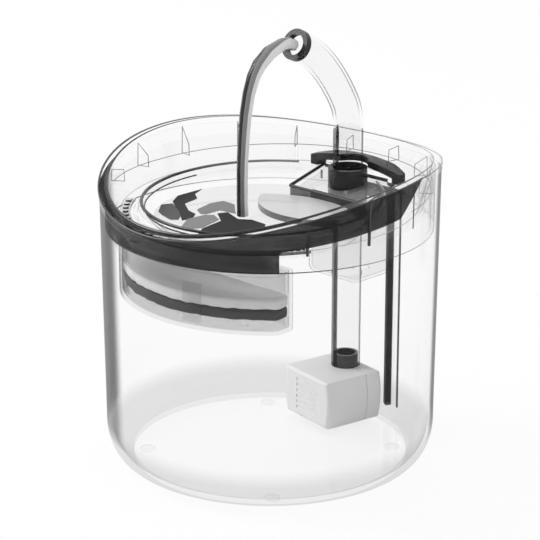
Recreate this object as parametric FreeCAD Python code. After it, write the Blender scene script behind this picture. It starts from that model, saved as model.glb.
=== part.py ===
import FreeCAD, Part
import math
import os

# Pet water fountain: a clear round tank, a drop-in drinking tray with a swivelling
# arched spout, a submerged pump with its riser, and a filter basket under the tray.
# Millimetres, +Z up. Origin: centre of the base, on the surface that it stands on.
# The front (-Y) is the low side of the rim, the spout stands at the back (+Y).

# Tank
TANK_TOP_RADIUS = 87.5
TANK_DRAFT = 1.4
TANK_WALL = 2.5
TANK_FLOOR = 3.0
TANK_HEIGHT = 163.0
BASE_ROUND_OUT = 13.8
BASE_ROUND_UP = 20.4
FOOT_PROUD = 0.5
FOOT_RADIUS = 4.0
FOOT_RECESS = 0.9
FOOT_COUNT = 4
FOOT_CIRCLE_INSET = 22.5

# Saddle-shaped rim: a large cylinder lying along X
RIM_ARC_RADIUS = 281.5
RIM_PEAK_Y = 26.25

# Drinking tray
LIP_PROUD = 0.3
LIP_WIDTH = 4.8
LIP_HEIGHT = 4.0
SKIRT_GAP = 0.34
SKIRT_WALL = 1.8
SKIRT_DEPTH = 37.35
TRAY_WALL = 1.5
TRAY_FOOT_INSET = 10.5
LEDGE_INSET = 7.5
LEDGE_DROP = 27.1
LEDGE_THICKNESS = 2.0
LEDGE_SLOPE = 0.04
RIB_COUNT = 16
RIB_THICKNESS = 1.5

# Bowl in the tray
BOWL_CENTRE_Y = -5.3
BOWL_RING_INSET = 25.5
BOWL_RING_THICKNESS = 3.4
BOWL_RING_RISE = 3.3
BOWL_FLARE = 12.0
BOWL_DEPTH = 14.0
BOWL_WALL = 1.6
BOWL_FLANGE = 4.0
BOWL_FLANGE_THICKNESS = 1.1
SHELF_INSET = 23.0
SHELF_FORWARD = 12.5
SHELF_HEIGHT = 3.4

# Drain grate in the front of the ledge
GRATE_INSET = 13.5
GRATE_WIDTH = 4.4
GRATE_THICKNESS = 1.5
GRATE_HALF_ANGLE = 59.0
GRATE_SLOTS = 26
GRATE_SLOT_WIDTH = 1.5
GRATE_SCALE_RADIUS = 1.5
GRATE_SCALE_HEIGHT = 1.0

# Spout line
SPOUT_INSET = 28.0
SPOUT_DIAMETER = 16.0
SPOUT_WALL = 1.6
SPOUT_STEM_HEIGHT = 31.0
SPOUT_STRAIGHT = 2.0
SPOUT_BENDS = [(30.0, 30.0), (110.0, 12.0), (62.0, 24.0)]
COUPLING_WALL = 0.8
COUPLING_LENGTH = 9.0
OUTLET_RING_LENGTH = 3.6
OUTLET_RING_WALL = 2.6
RISER_DIAMETER = 15.8
RISER_WALL = 1.0
SOCKET_DIAMETER = 21.0
SOCKET_HEIGHT = 22.0
SOCKET_ABOVE_DECK = 8.1
SOCKET_WEB = 2.0
SOCKET_WEB_BORE = 13.0

# Rear well with its sloped deck, the cord conduit and the bridge clip
DECK_HALF_WIDTH = 26.5
DECK_FORWARD = 16.5
DECK_BEHIND = 11.0
DECK_FRONT_DROP = 31.3
DECK_BACK_DROP = 24.4
DECK_THICKNESS = 2.0
WELL_WALL = 1.6
WELL_HALF_WIDTH = 18.5
WELL_FORWARD = 13.0
WELL_BEHIND = 20.0
WELL_DROP = 79.0
WELL_CORNER = 5.0
WELL_FLANGE_DROP = 32.0
WELL_DRAIN_RADIUS = 4.3
CHEEK_BEHIND = 7.5
CONDUIT_DIAMETER = 8.0
CONDUIT_WALL = 1.1
CONDUIT_SLOT = 3.0
CONDUIT_BEHIND = 12.1
CONDUIT_BOTTOM = 9.5
CONDUIT_TOP_DROP = 2.0
BRIDGE_HALF_SPAN = 31.5
BRIDGE_BEHIND = 5.0
BRIDGE_DEPTH = 9.0
BRIDGE_END_WIDTH = 5.0
BRIDGE_CROWN = 9.5
BRIDGE_END_HEIGHT = 5.3
BRIDGE_THICKNESS = 3.7
BRIDGE_CORNER_INSET = 11.2

# Filter basket under the front of the tray
BASKET_INSET = 9.5
BASKET_SIDE_INSET = 21.0
BASKET_DEPTH = 38.0
BASKET_CORNER = 5.0
BASKET_HEIGHT = 30.5
BASKET_WALL = 1.5
BASKET_GRID_SPACE = 5.0
CARBON_HEIGHT = 5.5
FLOSS_HEIGHT = 6.0
BASKET_HOLE_RADIUS = 1.8
BASKET_HOLE_PITCH = 9.0
LID_SLOT_WIDTH = 3.0
LID_SLOTS = 9
LID_SLOT_LENGTH = 17.0
LID_SLOT_INSET = 7.0
COLLAR_WALL = 1.5
COLLAR_OVERLAP = 5.5
COLLAR_HALF_ANGLE = 44.0
TAB_ANGLE = 15.0
TAB_WIDTH = 10.0
TAB_HEIGHT = 20.0
TAB_THICKNESS = 1.2
TAB_RISE = 4.0

# Pump, turned about Z so that its outlet meets the riser
PUMP_WIDTH = 36.5
PUMP_LENGTH = 36.5
PUMP_HEIGHT = 26.5
PUMP_BULGE = 1.9
PUMP_TURN = -10.6
PUMP_WALL = 1.8
PUMP_SEAM_SHARE = 0.72
PUMP_CORNER = 2.0
OUTLET_BEHIND_CENTRE = 8.4
CUP_HEIGHT = 1.8
CUP_RADIUS = 4.2
CUP_NECK_RADIUS = 1.6
CUP_NECK_HEIGHT = 1.2
CUP_INSET = 8.0
VOLUTE_RADIUS = 10.5
VOLUTE_WALL = 1.2
VOLUTE_LENGTH = 12.8
NIPPLE_RISE = 7.3
NIPPLE_WALL = 1.4
IMPELLER_RADIUS = 8.2
IMPELLER_LENGTH = 5.5
IMPELLER_BLADES = 6
BLADE_THICKNESS = 1.1
MAGNET_RADIUS = 4.6
MAGNET_LENGTH = 11.0
SLEEVE_BORE_RADIUS = 5.2
SLEEVE_WALL = 1.0
SHAFT_RADIUS = 1.0
BUSH_RADIUS = 2.2
BUSH_LENGTH = 1.2
STATOR_HALF_WIDTH = 12.0
STATOR_LENGTH = 7.0
COIL_RADIUS = 10.0
COIL_LENGTH = 4.0
SPONGE_THICKNESS = 3.0
INTAKE_SLOTS = 6
INTAKE_SLOT_WIDTH = 1.6
KNOB_RADIUS = 5.0
KNOB_LENGTH = 2.6
KNOB_FORWARD = 11.0
KNOB_STEM_RADIUS = 2.0
GLAND_RADIUS = 4.0
GLAND_LENGTH = 3.0
GLAND_BORE_RADIUS = 1.5

# Clearances
MOVING_GAP = 0.3
SEAT_GAP = 0.1
TOUCH_GAP = 0.05
RUNNING_GAP = 0.05

# A length that reaches past the whole object, for trimming tools
REACH = 2.0 * TANK_TOP_RADIUS

os.makedirs("parts", exist_ok=True)


def vec(x, y, z):
    return FreeCAD.Vector(x, y, z)


UP = vec(0, 0, 1)

# Places worked out from the driving dimensions
FOOT_CIRCLE = TANK_TOP_RADIUS - FOOT_CIRCLE_INSET
LIP_RADIUS = TANK_TOP_RADIUS + LIP_PROUD
LIP_INNER_RADIUS = LIP_RADIUS - LIP_WIDTH
TRAY_FOOT_RADIUS = TANK_TOP_RADIUS - TRAY_FOOT_INSET
LEDGE_RADIUS = TANK_TOP_RADIUS - LEDGE_INSET
GRATE_RADIUS = TANK_TOP_RADIUS - GRATE_INSET
BOWL_RING_RADIUS = TANK_TOP_RADIUS - BOWL_RING_INSET
BOWL_FLOOR_RADIUS = BOWL_RING_RADIUS - BOWL_FLARE
BASKET_RADIUS = TANK_TOP_RADIUS - BASKET_INSET
BASKET_HALF_WIDTH = BASKET_RADIUS - BASKET_SIDE_INSET
BASKET_BACK_Y = BASKET_DEPTH - BASKET_RADIUS
SPOUT_Y = TANK_TOP_RADIUS - SPOUT_INSET
SHELF_RADIUS = BOWL_RING_RADIUS - SHELF_INSET
SHELF_CENTRE_Y = SPOUT_Y - SHELF_FORWARD
DECK_FRONT_Y = SPOUT_Y - DECK_FORWARD
DECK_BACK_Y = SPOUT_Y + DECK_BEHIND
DECK_FRONT_HEIGHT = TANK_HEIGHT - DECK_FRONT_DROP
DECK_BACK_HEIGHT = TANK_HEIGHT - DECK_BACK_DROP
WELL_FRONT_Y = SPOUT_Y - WELL_FORWARD
WELL_BACK_Y = SPOUT_Y + WELL_BEHIND
WELL_BOTTOM = TANK_HEIGHT - WELL_DROP
WELL_FLANGE_HEIGHT = TANK_HEIGHT - WELL_FLANGE_DROP
CHEEK_BACK_Y = SPOUT_Y + CHEEK_BEHIND
CONDUIT_Y = SPOUT_Y + CONDUIT_BEHIND
BRIDGE_FRONT_Y = SPOUT_Y + BRIDGE_BEHIND
BRIDGE_BACK_Y = BRIDGE_FRONT_Y + BRIDGE_DEPTH
BRIDGE_CORNER_RADIUS = TANK_TOP_RADIUS - BRIDGE_CORNER_INSET
RIM_AXIS_HEIGHT = TANK_HEIGHT - RIM_ARC_RADIUS
LEDGE_HEIGHT = TANK_HEIGHT - LEDGE_DROP
SKIRT_RADIUS = TANK_TOP_RADIUS - TANK_WALL - SKIRT_GAP - TANK_DRAFT * 0.2
SKIRT_BOTTOM = TANK_HEIGHT - SKIRT_DEPTH
BOWL_FLOOR = LEDGE_HEIGHT + BOWL_RING_RISE - BOWL_DEPTH - 0.2
TANK_INSIDE_FLOOR = FOOT_PROUD + TANK_FLOOR
PUMP_BOTTOM = TANK_INSIDE_FLOOR + CUP_HEIGHT
PUMP_TOP = PUMP_BOTTOM + PUMP_HEIGHT
SHAFT_HEIGHT = PUMP_BOTTOM + PUMP_HEIGHT / 2
SEAM_Y = PUMP_LENGTH * (PUMP_SEAM_SHARE - 0.5)
SOCKET_SLOPE = (DECK_BACK_HEIGHT - DECK_FRONT_HEIGHT) / (DECK_BACK_Y - DECK_FRONT_Y)
SOCKET_TOP = DECK_FRONT_HEIGHT + SOCKET_SLOPE * (SPOUT_Y - DECK_FRONT_Y) + SOCKET_ABOVE_DECK
SOCKET_BOTTOM = SOCKET_TOP - SOCKET_HEIGHT
SOCKET_WEB_TOP = SOCKET_BOTTOM + SOCKET_HEIGHT / 2
RISER_TOP = SOCKET_WEB_TOP - SOCKET_WEB - MOVING_GAP
NIPPLE_RADIUS = RISER_DIAMETER / 2 - RISER_WALL - SEAT_GAP
STEM_BOTTOM = SOCKET_WEB_TOP + MOVING_GAP
STEM_TOP = STEM_BOTTOM + SPOUT_STEM_HEIGHT
BASKET_TOP = BOWL_FLOOR - BOWL_WALL - 2 * MOVING_GAP
BASKET_BOTTOM = BASKET_TOP - BASKET_HEIGHT


def save(shape, name):
    shape.exportStep("parts/" + name + ".step")
    print(name, "solids", len(shape.Solids), "valid", shape.isValid(), "volume", round(shape.Volume, 1))


def box(x0, x1, y0, y1, z0, z1):
    return Part.makeBox(x1 - x0, y1 - y0, z1 - z0, vec(x0, y0, z0))


def rod(radius, z0, z1, x=0.0, y=0.0):
    return Part.makeCylinder(radius, z1 - z0, vec(x, y, z0))


def tube(outer, inner, z0, z1, x=0.0, y=0.0):
    return rod(outer, z0, z1, x, y).cut(rod(inner, z0 - 1, z1 + 1, x, y))


def rod_y(radius, y0, y1, x=0.0, z=0.0):
    return Part.makeCylinder(radius, y1 - y0, vec(x, y0, z), vec(0, 1, 0))


def rod_x(radius, x0, x1, y=0.0, z=0.0):
    return Part.makeCylinder(radius, x1 - x0, vec(x0, y, z), vec(1, 0, 0))


def prism(points, direction):
    """A straight prism over a closed outline of straight edges."""
    outline = Part.makePolygon(points + [points[0]])
    return Part.Face(outline).extrude(direction)


def under_rim(drop):
    """The space under the saddle-shaped rim, lowered by a distance."""
    start = vec(-REACH, RIM_PEAK_Y, RIM_AXIS_HEIGHT)
    return Part.makeCylinder(RIM_ARC_RADIUS - drop, 2 * REACH, start, vec(1, 0, 0))


def rim_height(y, drop):
    reach = RIM_ARC_RADIUS - drop
    return RIM_AXIS_HEIGHT + math.sqrt(reach ** 2 - (y - RIM_PEAK_Y) ** 2)


def ledge_slab(low, high):
    """A sloped slab between two heights above the ledge's top plane."""
    points = []
    for y, rise in ((-REACH, low), (REACH, low), (REACH, high), (-REACH, high)):
        points.append(vec(-REACH, y, LEDGE_HEIGHT + LEDGE_SLOPE * y + rise))
    return prism(points, vec(2 * REACH, 0, 0))


def sector(outer, inner, z0, z1, half_angle):
    """A curved wall about the tank's axis, centred on the front."""
    solid = Part.makeCylinder(outer, z1 - z0, vec(0, 0, z0), UP, 2 * half_angle)
    solid = solid.cut(rod(inner, z0 - 1, z1 + 1))
    solid.rotate(vec(0, 0, 0), UP, -90 - half_angle)
    return solid


def tank_cup(radius, floor, height, round_out, round_up, draft):
    """A round cup with an elliptical lower corner and slightly flared sides."""
    base = radius - draft
    middle = vec(base - round_out, 0, floor + round_up)
    ellipse = Part.Ellipse(middle + vec(0, 0, -round_up), middle + vec(round_out, 0, 0), middle)
    corner = Part.Arc(ellipse, 0, math.pi / 2).toShape()
    low = vec(base - round_out, 0, floor)
    turn = vec(base, 0, floor + round_up)
    top = vec(radius, 0, height)
    edges = [Part.makeLine(vec(0, 0, floor), low), corner, Part.makeLine(turn, top),
             Part.makeLine(top, vec(0, 0, height)), Part.makeLine(vec(0, 0, height), vec(0, 0, floor))]
    return Part.Face(Part.Wire(edges)).revolve(vec(0, 0, 0), UP, 360)


def foot_places():
    for index in range(FOOT_COUNT):
        angle = math.radians(45 + 360 * index / FOOT_COUNT)
        yield FOOT_CIRCLE * math.cos(angle), FOOT_CIRCLE * math.sin(angle)


def make_tank():
    height = TANK_HEIGHT + 5
    outer = tank_cup(TANK_TOP_RADIUS, FOOT_PROUD, height, BASE_ROUND_OUT, BASE_ROUND_UP, TANK_DRAFT)
    inner = tank_cup(TANK_TOP_RADIUS - TANK_WALL, TANK_INSIDE_FLOOR, height + 1,
                     BASE_ROUND_OUT - TANK_WALL / 2, BASE_ROUND_UP - TANK_FLOOR / 2, TANK_DRAFT)
    solid = outer.cut(inner).common(under_rim(LIP_HEIGHT + MOVING_GAP))
    for x, y in foot_places():
        solid = solid.cut(rod(FOOT_RADIUS + TOUCH_GAP, 0, FOOT_PROUD + FOOT_RECESS, x, y))
    return solid


def closed_curve(radius, height_at):
    """A smooth closed curve round the tank's axis whose height follows y."""
    points = []
    steps = 48
    for index in range(steps):
        angle = 2 * math.pi * index / steps
        x = radius * math.cos(angle)
        y = radius * math.sin(angle)
        points.append(vec(x, y, height_at(y)))
    curve = Part.BSplineCurve()
    curve.interpolate(Points=points, PeriodicFlag=True)
    return curve.toShape()


def inclined_wall():
    """The tray's inner wall: vertical height changes round the rim, width does not."""
    def top_height(y):
        return rim_height(y, LIP_HEIGHT / 2)

    def foot_height(y):
        return LEDGE_HEIGHT + LEDGE_SLOPE * y - LEDGE_THICKNESS / 2

    top_radius = LIP_INNER_RADIUS + 0.1
    top_inner = closed_curve(top_radius, top_height)
    top_outer = closed_curve(top_radius + TRAY_WALL, top_height)
    foot_inner = closed_curve(TRAY_FOOT_RADIUS, foot_height)
    foot_outer = closed_curve(TRAY_FOOT_RADIUS + TRAY_WALL, foot_height)
    faces = [Part.makeRuledSurface(top_outer, foot_outer), Part.makeRuledSurface(foot_inner, top_inner),
             Part.makeRuledSurface(top_inner, top_outer), Part.makeRuledSurface(foot_outer, foot_inner)]
    shell = Part.makeShell(faces)
    shell.sewShape()
    solid = Part.makeSolid(shell)
    if solid.Volume < 0:
        solid.reverse()
    return solid


def gusset_rib(angle):
    """A triangular rib between the inclined wall and the skirt, at an angle from +X."""
    turn = math.radians(angle)
    foot_y = LEDGE_RADIUS * math.sin(turn)
    foot = LEDGE_HEIGHT + LEDGE_SLOPE * foot_y - LEDGE_THICKNESS
    top = rim_height(foot_y, LIP_HEIGHT / 2)
    back = SKIRT_RADIUS - SKIRT_WALL / 2
    points = []
    for radius, height in ((TRAY_FOOT_RADIUS + TRAY_WALL / 2, foot), (back, foot), (back, top)):
        points.append(vec(radius, -RIB_THICKNESS / 2, height))
    rib = prism(points, vec(0, RIB_THICKNESS, 0))
    rib.rotate(vec(0, 0, 0), UP, angle)
    return rib


def make_tray_frame():
    lip = tube(LIP_RADIUS, LIP_INNER_RADIUS, SKIRT_BOTTOM, TANK_HEIGHT + 5)
    lip = lip.common(under_rim(0)).cut(under_rim(LIP_HEIGHT))
    skirt = tube(SKIRT_RADIUS, SKIRT_RADIUS - SKIRT_WALL, SKIRT_BOTTOM, TANK_HEIGHT + 5)
    skirt = skirt.common(under_rim(LIP_HEIGHT / 2))
    ledge = rod(LEDGE_RADIUS, SKIRT_BOTTOM, TANK_HEIGHT).common(ledge_slab(-LEDGE_THICKNESS, 0))
    collar = sector(BASKET_RADIUS + SEAT_GAP + MOVING_GAP + COLLAR_WALL,
                    BASKET_RADIUS + SEAT_GAP + MOVING_GAP,
                    BASKET_TOP - COLLAR_OVERLAP, LEDGE_HEIGHT, COLLAR_HALF_ANGLE)
    collar = collar.common(ledge_slab(-REACH, -LEDGE_THICKNESS / 2))
    bead = tube(SKIRT_RADIUS - SKIRT_WALL + TOUCH_GAP, SKIRT_RADIUS - SKIRT_WALL - 0.6,
                SKIRT_BOTTOM, TANK_HEIGHT).common(ledge_slab(-0.8, 0))
    ribs = [gusset_rib(-90 + (index + 0.5) * 360 / RIB_COUNT) for index in range(RIB_COUNT)]
    solid = lip
    for piece in (skirt, inclined_wall(), ledge, collar, bead):
        solid = solid.fuse(piece)
    solid = solid.fuse(ribs)
    bowl_hole = rod(BOWL_RING_RADIUS + BOWL_RING_THICKNESS / 2 + 0.6, 0, TANK_HEIGHT, 0, BOWL_CENTRE_Y)
    solid = solid.cut(bowl_hole)
    solid = solid.cut(box(-DECK_HALF_WIDTH - MOVING_GAP, DECK_HALF_WIDTH + MOVING_GAP,
                          0, DECK_BACK_Y + MOVING_GAP, 0, TANK_HEIGHT))
    half = GRATE_WIDTH / 2 + 2 * SEAT_GAP
    opening = sector(GRATE_RADIUS + half, GRATE_RADIUS - half, SKIRT_BOTTOM, TANK_HEIGHT,
                     GRATE_HALF_ANGLE + 0.2)
    opening = opening.common(ledge_slab(-LEDGE_THICKNESS - 1, 2))
    return solid.cut(opening)


def bowl_circle(radius, height, tilted):
    normal = vec(0, -LEDGE_SLOPE, 1) if tilted else UP
    centre = vec(0, BOWL_CENTRE_Y, height)
    return Part.Wire(Part.makeCircle(radius, centre, normal))


def bowl_ring_height():
    return LEDGE_HEIGHT + BOWL_RING_RISE + LEDGE_SLOPE * BOWL_CENTRE_Y


def rear_gate():
    """The footprint of the rear deck, which the bowl leaves open."""
    half = DECK_HALF_WIDTH + MOVING_GAP
    return box(-half, half, DECK_FRONT_Y - MOVING_GAP, REACH, 0, TANK_HEIGHT)


def make_bowl():
    ring_height = bowl_ring_height()
    top_radius = BOWL_RING_RADIUS + BOWL_WALL / 2
    outer = Part.makeLoft([bowl_circle(BOWL_FLOOR_RADIUS, BOWL_FLOOR - BOWL_WALL, False),
                           bowl_circle(top_radius, ring_height, True)], True, True)
    inner = Part.makeLoft([bowl_circle(BOWL_FLOOR_RADIUS - BOWL_WALL / 2, BOWL_FLOOR, False),
                           bowl_circle(top_radius - BOWL_WALL, ring_height, True)], True, True)
    ring = Part.makeTorus(BOWL_RING_RADIUS, BOWL_RING_THICKNESS / 2,
                          vec(0, BOWL_CENTRE_Y, ring_height), vec(0, -LEDGE_SLOPE, 1))
    flange = tube(BOWL_RING_RADIUS + BOWL_FLANGE, BOWL_RING_RADIUS - 1.8, BOWL_FLOOR, TANK_HEIGHT,
                  0, BOWL_CENTRE_Y)
    flange = flange.common(ledge_slab(TOUCH_GAP, BOWL_FLANGE_THICKNESS))
    solid = outer.fuse([ring, flange]).cut(inner)
    return solid.cut(rear_gate())


def make_splash_shelf():
    low = BOWL_FLOOR + TOUCH_GAP
    high = BOWL_FLOOR + SHELF_HEIGHT
    solid = rod(SHELF_RADIUS, low, high, 0, SHELF_CENTRE_Y)
    solid = solid.common(rod(BOWL_FLOOR_RADIUS - BOWL_WALL, low, high, 0, BOWL_CENTRE_Y))
    return solid.cut(rear_gate())


def make_drain_grate():
    """A curved strip with radial slots and a small scale beside each slot."""
    half = GRATE_WIDTH / 2
    height = LEDGE_HEIGHT + LEDGE_SLOPE * -GRATE_RADIUS
    solid = sector(GRATE_RADIUS + half, GRATE_RADIUS - half, height - 5, height + 8, GRATE_HALF_ANGLE)
    solid = solid.common(ledge_slab(-GRATE_THICKNESS, 0))
    pitch = 2 * GRATE_HALF_ANGLE / GRATE_SLOTS
    slots = []
    scales = []
    for index in range(GRATE_SLOTS):
        angle = -90 - GRATE_HALF_ANGLE + (index + 0.5) * pitch
        slot = box(GRATE_RADIUS - half + 0.8, GRATE_RADIUS + half - 0.8,
                   -GRATE_SLOT_WIDTH / 2, GRATE_SLOT_WIDTH / 2, height - 6, height + 9)
        slot.rotate(vec(0, 0, 0), UP, angle)
        slots.append(slot)
        beside = math.radians(angle + pitch / 2)
        if index < GRATE_SLOTS - 1:
            scales.append(rod(GRATE_SCALE_RADIUS, height - 5, height + 9,
                              GRATE_RADIUS * math.cos(beside), GRATE_RADIUS * math.sin(beside)))
    raised = scales[0].fuse(scales[1:]).common(ledge_slab(-GRATE_THICKNESS, GRATE_SCALE_HEIGHT))
    return solid.fuse(raised).cut(slots)


def make_rear_well():
    """Pocket behind the bowl, its flange, and the sloped deck that carries the socket."""
    half = DECK_HALF_WIDTH
    pocket = box(-WELL_HALF_WIDTH, WELL_HALF_WIDTH, WELL_FRONT_Y, WELL_BACK_Y,
                 WELL_BOTTOM, WELL_FLANGE_HEIGHT)
    corners = [edge for edge in pocket.Edges
               if edge.BoundBox.ZMax < WELL_BOTTOM + 1 or edge.BoundBox.ZLength > 1]
    pocket = pocket.makeFillet(WELL_CORNER, corners)
    hollow = box(-WELL_HALF_WIDTH + WELL_WALL, WELL_HALF_WIDTH - WELL_WALL, WELL_FRONT_Y + WELL_WALL,
                 WELL_BACK_Y - WELL_WALL, WELL_BOTTOM + WELL_WALL, WELL_FLANGE_HEIGHT + 1)
    inside = [edge for edge in hollow.Edges
              if edge.BoundBox.ZMax < WELL_BOTTOM + WELL_WALL + 1 or edge.BoundBox.ZLength > 1]
    hollow = hollow.makeFillet(WELL_CORNER - WELL_WALL, inside)
    flange = box(-half, half, DECK_FRONT_Y, WELL_BACK_Y, WELL_FLANGE_HEIGHT - WELL_WALL, WELL_FLANGE_HEIGHT)
    face = box(-half, half, DECK_FRONT_Y, DECK_FRONT_Y + WELL_WALL,
               BOWL_FLOOR - BOWL_WALL, DECK_FRONT_HEIGHT)
    points = []
    for y, height in ((DECK_FRONT_Y, DECK_FRONT_HEIGHT), (DECK_BACK_Y, DECK_BACK_HEIGHT)):
        points.append(vec(-half, y, height))
    for y, height in ((DECK_BACK_Y, DECK_BACK_HEIGHT), (DECK_FRONT_Y, DECK_FRONT_HEIGHT)):
        points.append(vec(-half, y, height - DECK_THICKNESS))
    deck = prism(points, vec(2 * half, 0, 0))
    below = [points[0], points[1], vec(-half, DECK_BACK_Y, 0), vec(-half, DECK_FRONT_Y, 0)]
    under_deck = prism(below, vec(2 * half, 0, 0))
    pieces = [flange, face, deck]
    for side in (-half, half - WELL_WALL):
        cheek = box(side, side + WELL_WALL, DECK_FRONT_Y, CHEEK_BACK_Y,
                    WELL_FLANGE_HEIGHT - WELL_WALL, DECK_BACK_HEIGHT)
        pieces.append(cheek.common(under_deck))
    solid = pocket.fuse(pieces).cut(hollow.common(rod(REACH, 0, WELL_FLANGE_HEIGHT)))
    solid = solid.cut(rod(SOCKET_DIAMETER / 2 + SEAT_GAP, WELL_FLANGE_HEIGHT - WELL_WALL - 1,
                          TANK_HEIGHT, 0, SPOUT_Y))
    solid = solid.cut(rod(RISER_DIAMETER / 2 + MOVING_GAP, 0, WELL_BOTTOM + 9, 0, SPOUT_Y))
    solid = solid.cut(rod(WELL_DRAIN_RADIUS, 0, WELL_BOTTOM + 9, 0, WELL_BACK_Y - WELL_CORNER - 3))
    solid = solid.cut(rod(CONDUIT_DIAMETER / 2 + SEAT_GAP, 0, TANK_HEIGHT, conduit_x(), CONDUIT_Y))
    inner = SKIRT_RADIUS - SKIRT_WALL - 1
    return solid.common(rod(inner, 0, TANK_HEIGHT))


def conduit_x():
    return WELL_HALF_WIDTH + CONDUIT_DIAMETER / 2 + SEAT_GAP


def make_cord_conduit():
    """An open-sided channel that leads a lead from the deck down to the tank's floor."""
    radius = CONDUIT_DIAMETER / 2
    top = WELL_FLANGE_HEIGHT + CONDUIT_TOP_DROP
    solid = tube(radius, radius - CONDUIT_WALL, CONDUIT_BOTTOM, top, conduit_x(), CONDUIT_Y)
    slot = box(0, radius + 1, -CONDUIT_SLOT / 2, CONDUIT_SLOT / 2, 0, TANK_HEIGHT)
    slot.translate(vec(conduit_x(), CONDUIT_Y, 0))
    tip = box(-REACH, REACH, -REACH, 0, -REACH, 0)
    tip.rotate(vec(0, 0, 0), vec(1, 0, 0), -50)
    tip.translate(vec(0, CONDUIT_Y, CONDUIT_BOTTOM))
    return solid.cut(slot).cut(tip)


def make_spout_socket():
    radius = SOCKET_DIAMETER / 2
    solid = rod(radius, SOCKET_BOTTOM, SOCKET_TOP, 0, SPOUT_Y)
    solid = solid.cut(rod(SPOUT_DIAMETER / 2 + SEAT_GAP, SOCKET_WEB_TOP, SOCKET_TOP + 1, 0, SPOUT_Y))
    solid = solid.cut(rod(SOCKET_WEB_BORE / 2, SOCKET_BOTTOM, SOCKET_TOP, 0, SPOUT_Y))
    return solid.cut(rod(RISER_DIAMETER / 2 + SEAT_GAP, SOCKET_BOTTOM - 1,
                         SOCKET_WEB_TOP - SOCKET_WEB, 0, SPOUT_Y))


def arch_outline(half_span, low, end_height, crown):
    """Closed outline in the XZ plane: straight legs under a shallow arc."""
    left = vec(-half_span, 0, low)
    left_top = vec(-half_span, 0, end_height)
    right_top = vec(half_span, 0, end_height)
    right = vec(half_span, 0, low)
    arc = Part.Arc(left_top, vec(0, 0, crown), right_top).toShape()
    edges = [Part.makeLine(left, left_top), arc, Part.makeLine(right_top, right), Part.makeLine(right, left)]
    return Part.Face(Part.Wire(edges))


def make_rear_bridge():
    """An arched clip over the deck, hollowed out for the socket."""
    ground = LEDGE_HEIGHT + LEDGE_SLOPE * BRIDGE_BACK_Y
    depth = vec(0, BRIDGE_BACK_Y - BRIDGE_FRONT_Y, 0)
    outer = arch_outline(BRIDGE_HALF_SPAN, ground - 5, ground + BRIDGE_END_HEIGHT, ground + BRIDGE_CROWN)
    inner = arch_outline(BRIDGE_HALF_SPAN - BRIDGE_END_WIDTH, ground - 6,
                         ground + BRIDGE_END_HEIGHT - BRIDGE_THICKNESS + 1,
                         ground + BRIDGE_CROWN - BRIDGE_THICKNESS)
    solid = outer.extrude(depth).cut(inner.extrude(depth))
    solid.translate(vec(0, BRIDGE_FRONT_Y, 0))
    solid = solid.cut(ledge_slab(-REACH, MOVING_GAP))
    solid = solid.cut(rod(SOCKET_DIAMETER / 2 + MOVING_GAP, 0, TANK_HEIGHT, 0, SPOUT_Y))
    return solid.common(rod(BRIDGE_CORNER_RADIUS, 0, TANK_HEIGHT))


def spout_path():
    """Bend centreline in the YZ plane, and the point and direction at its end."""
    y = SPOUT_Y
    z = STEM_TOP + TOUCH_GAP
    edges = [Part.makeLine(vec(0, y, z), vec(0, y, z + SPOUT_STRAIGHT))]
    z += SPOUT_STRAIGHT
    heading = math.pi / 2
    for radius, turn in SPOUT_BENDS:
        points = [vec(0, y, z)]
        for share in (0.5, 1.0):
            angle = heading - math.radians(turn) * share
            points.append(vec(0, y - radius * (math.sin(heading) - math.sin(angle)),
                              z + radius * (math.cos(angle) - math.cos(heading))))
        edges.append(Part.Arc(points[0], points[1], points[2]).toShape())
        y = points[2].y
        z = points[2].z
        heading = angle
    return Part.Wire(edges), vec(0, y, z), vec(0, -math.cos(heading), math.sin(heading))


def make_spout_arch():
    path, _, _ = spout_path()
    start = vec(0, SPOUT_Y, STEM_TOP + TOUCH_GAP)
    outer = Part.Wire(Part.makeCircle(SPOUT_DIAMETER / 2, start, UP))
    inner = Part.Wire(Part.makeCircle(SPOUT_DIAMETER / 2 - SPOUT_WALL, start, UP))
    return path.makePipeShell([outer], True, False).cut(path.makePipeShell([inner], True, False))


def make_outlet_ring():
    _, end, direction = spout_path()
    radius = SPOUT_DIAMETER / 2 + 0.2
    start = end + direction * TOUCH_GAP
    ring = Part.makeCylinder(radius, OUTLET_RING_LENGTH, start, direction)
    return ring.cut(Part.makeCylinder(radius - OUTLET_RING_WALL, OUTLET_RING_LENGTH, start, direction))


def basket_outline(inset):
    """The basket's D-shaped plan, shrunk by a distance, as a prism of unit height."""
    half = BASKET_HALF_WIDTH - inset
    plan = rod(BASKET_RADIUS - inset, 0, 1).common(box(-half, half, -REACH, BASKET_BACK_Y - inset, 0, 1))
    upright = [edge for edge in plan.Edges if edge.BoundBox.ZLength > 0.5 and edge.Length < 1.5]
    return plan.makeFillet(BASKET_CORNER - inset / 2, upright)


def basket_layer(inset, z0, z1):
    bottom = [face for face in basket_outline(inset).Faces if face.BoundBox.ZMax < 0.5][0]
    layer = Part.Face(bottom.OuterWire).extrude(vec(0, 0, z1 - z0))
    layer.translate(vec(0, 0, z0))
    return layer


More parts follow.
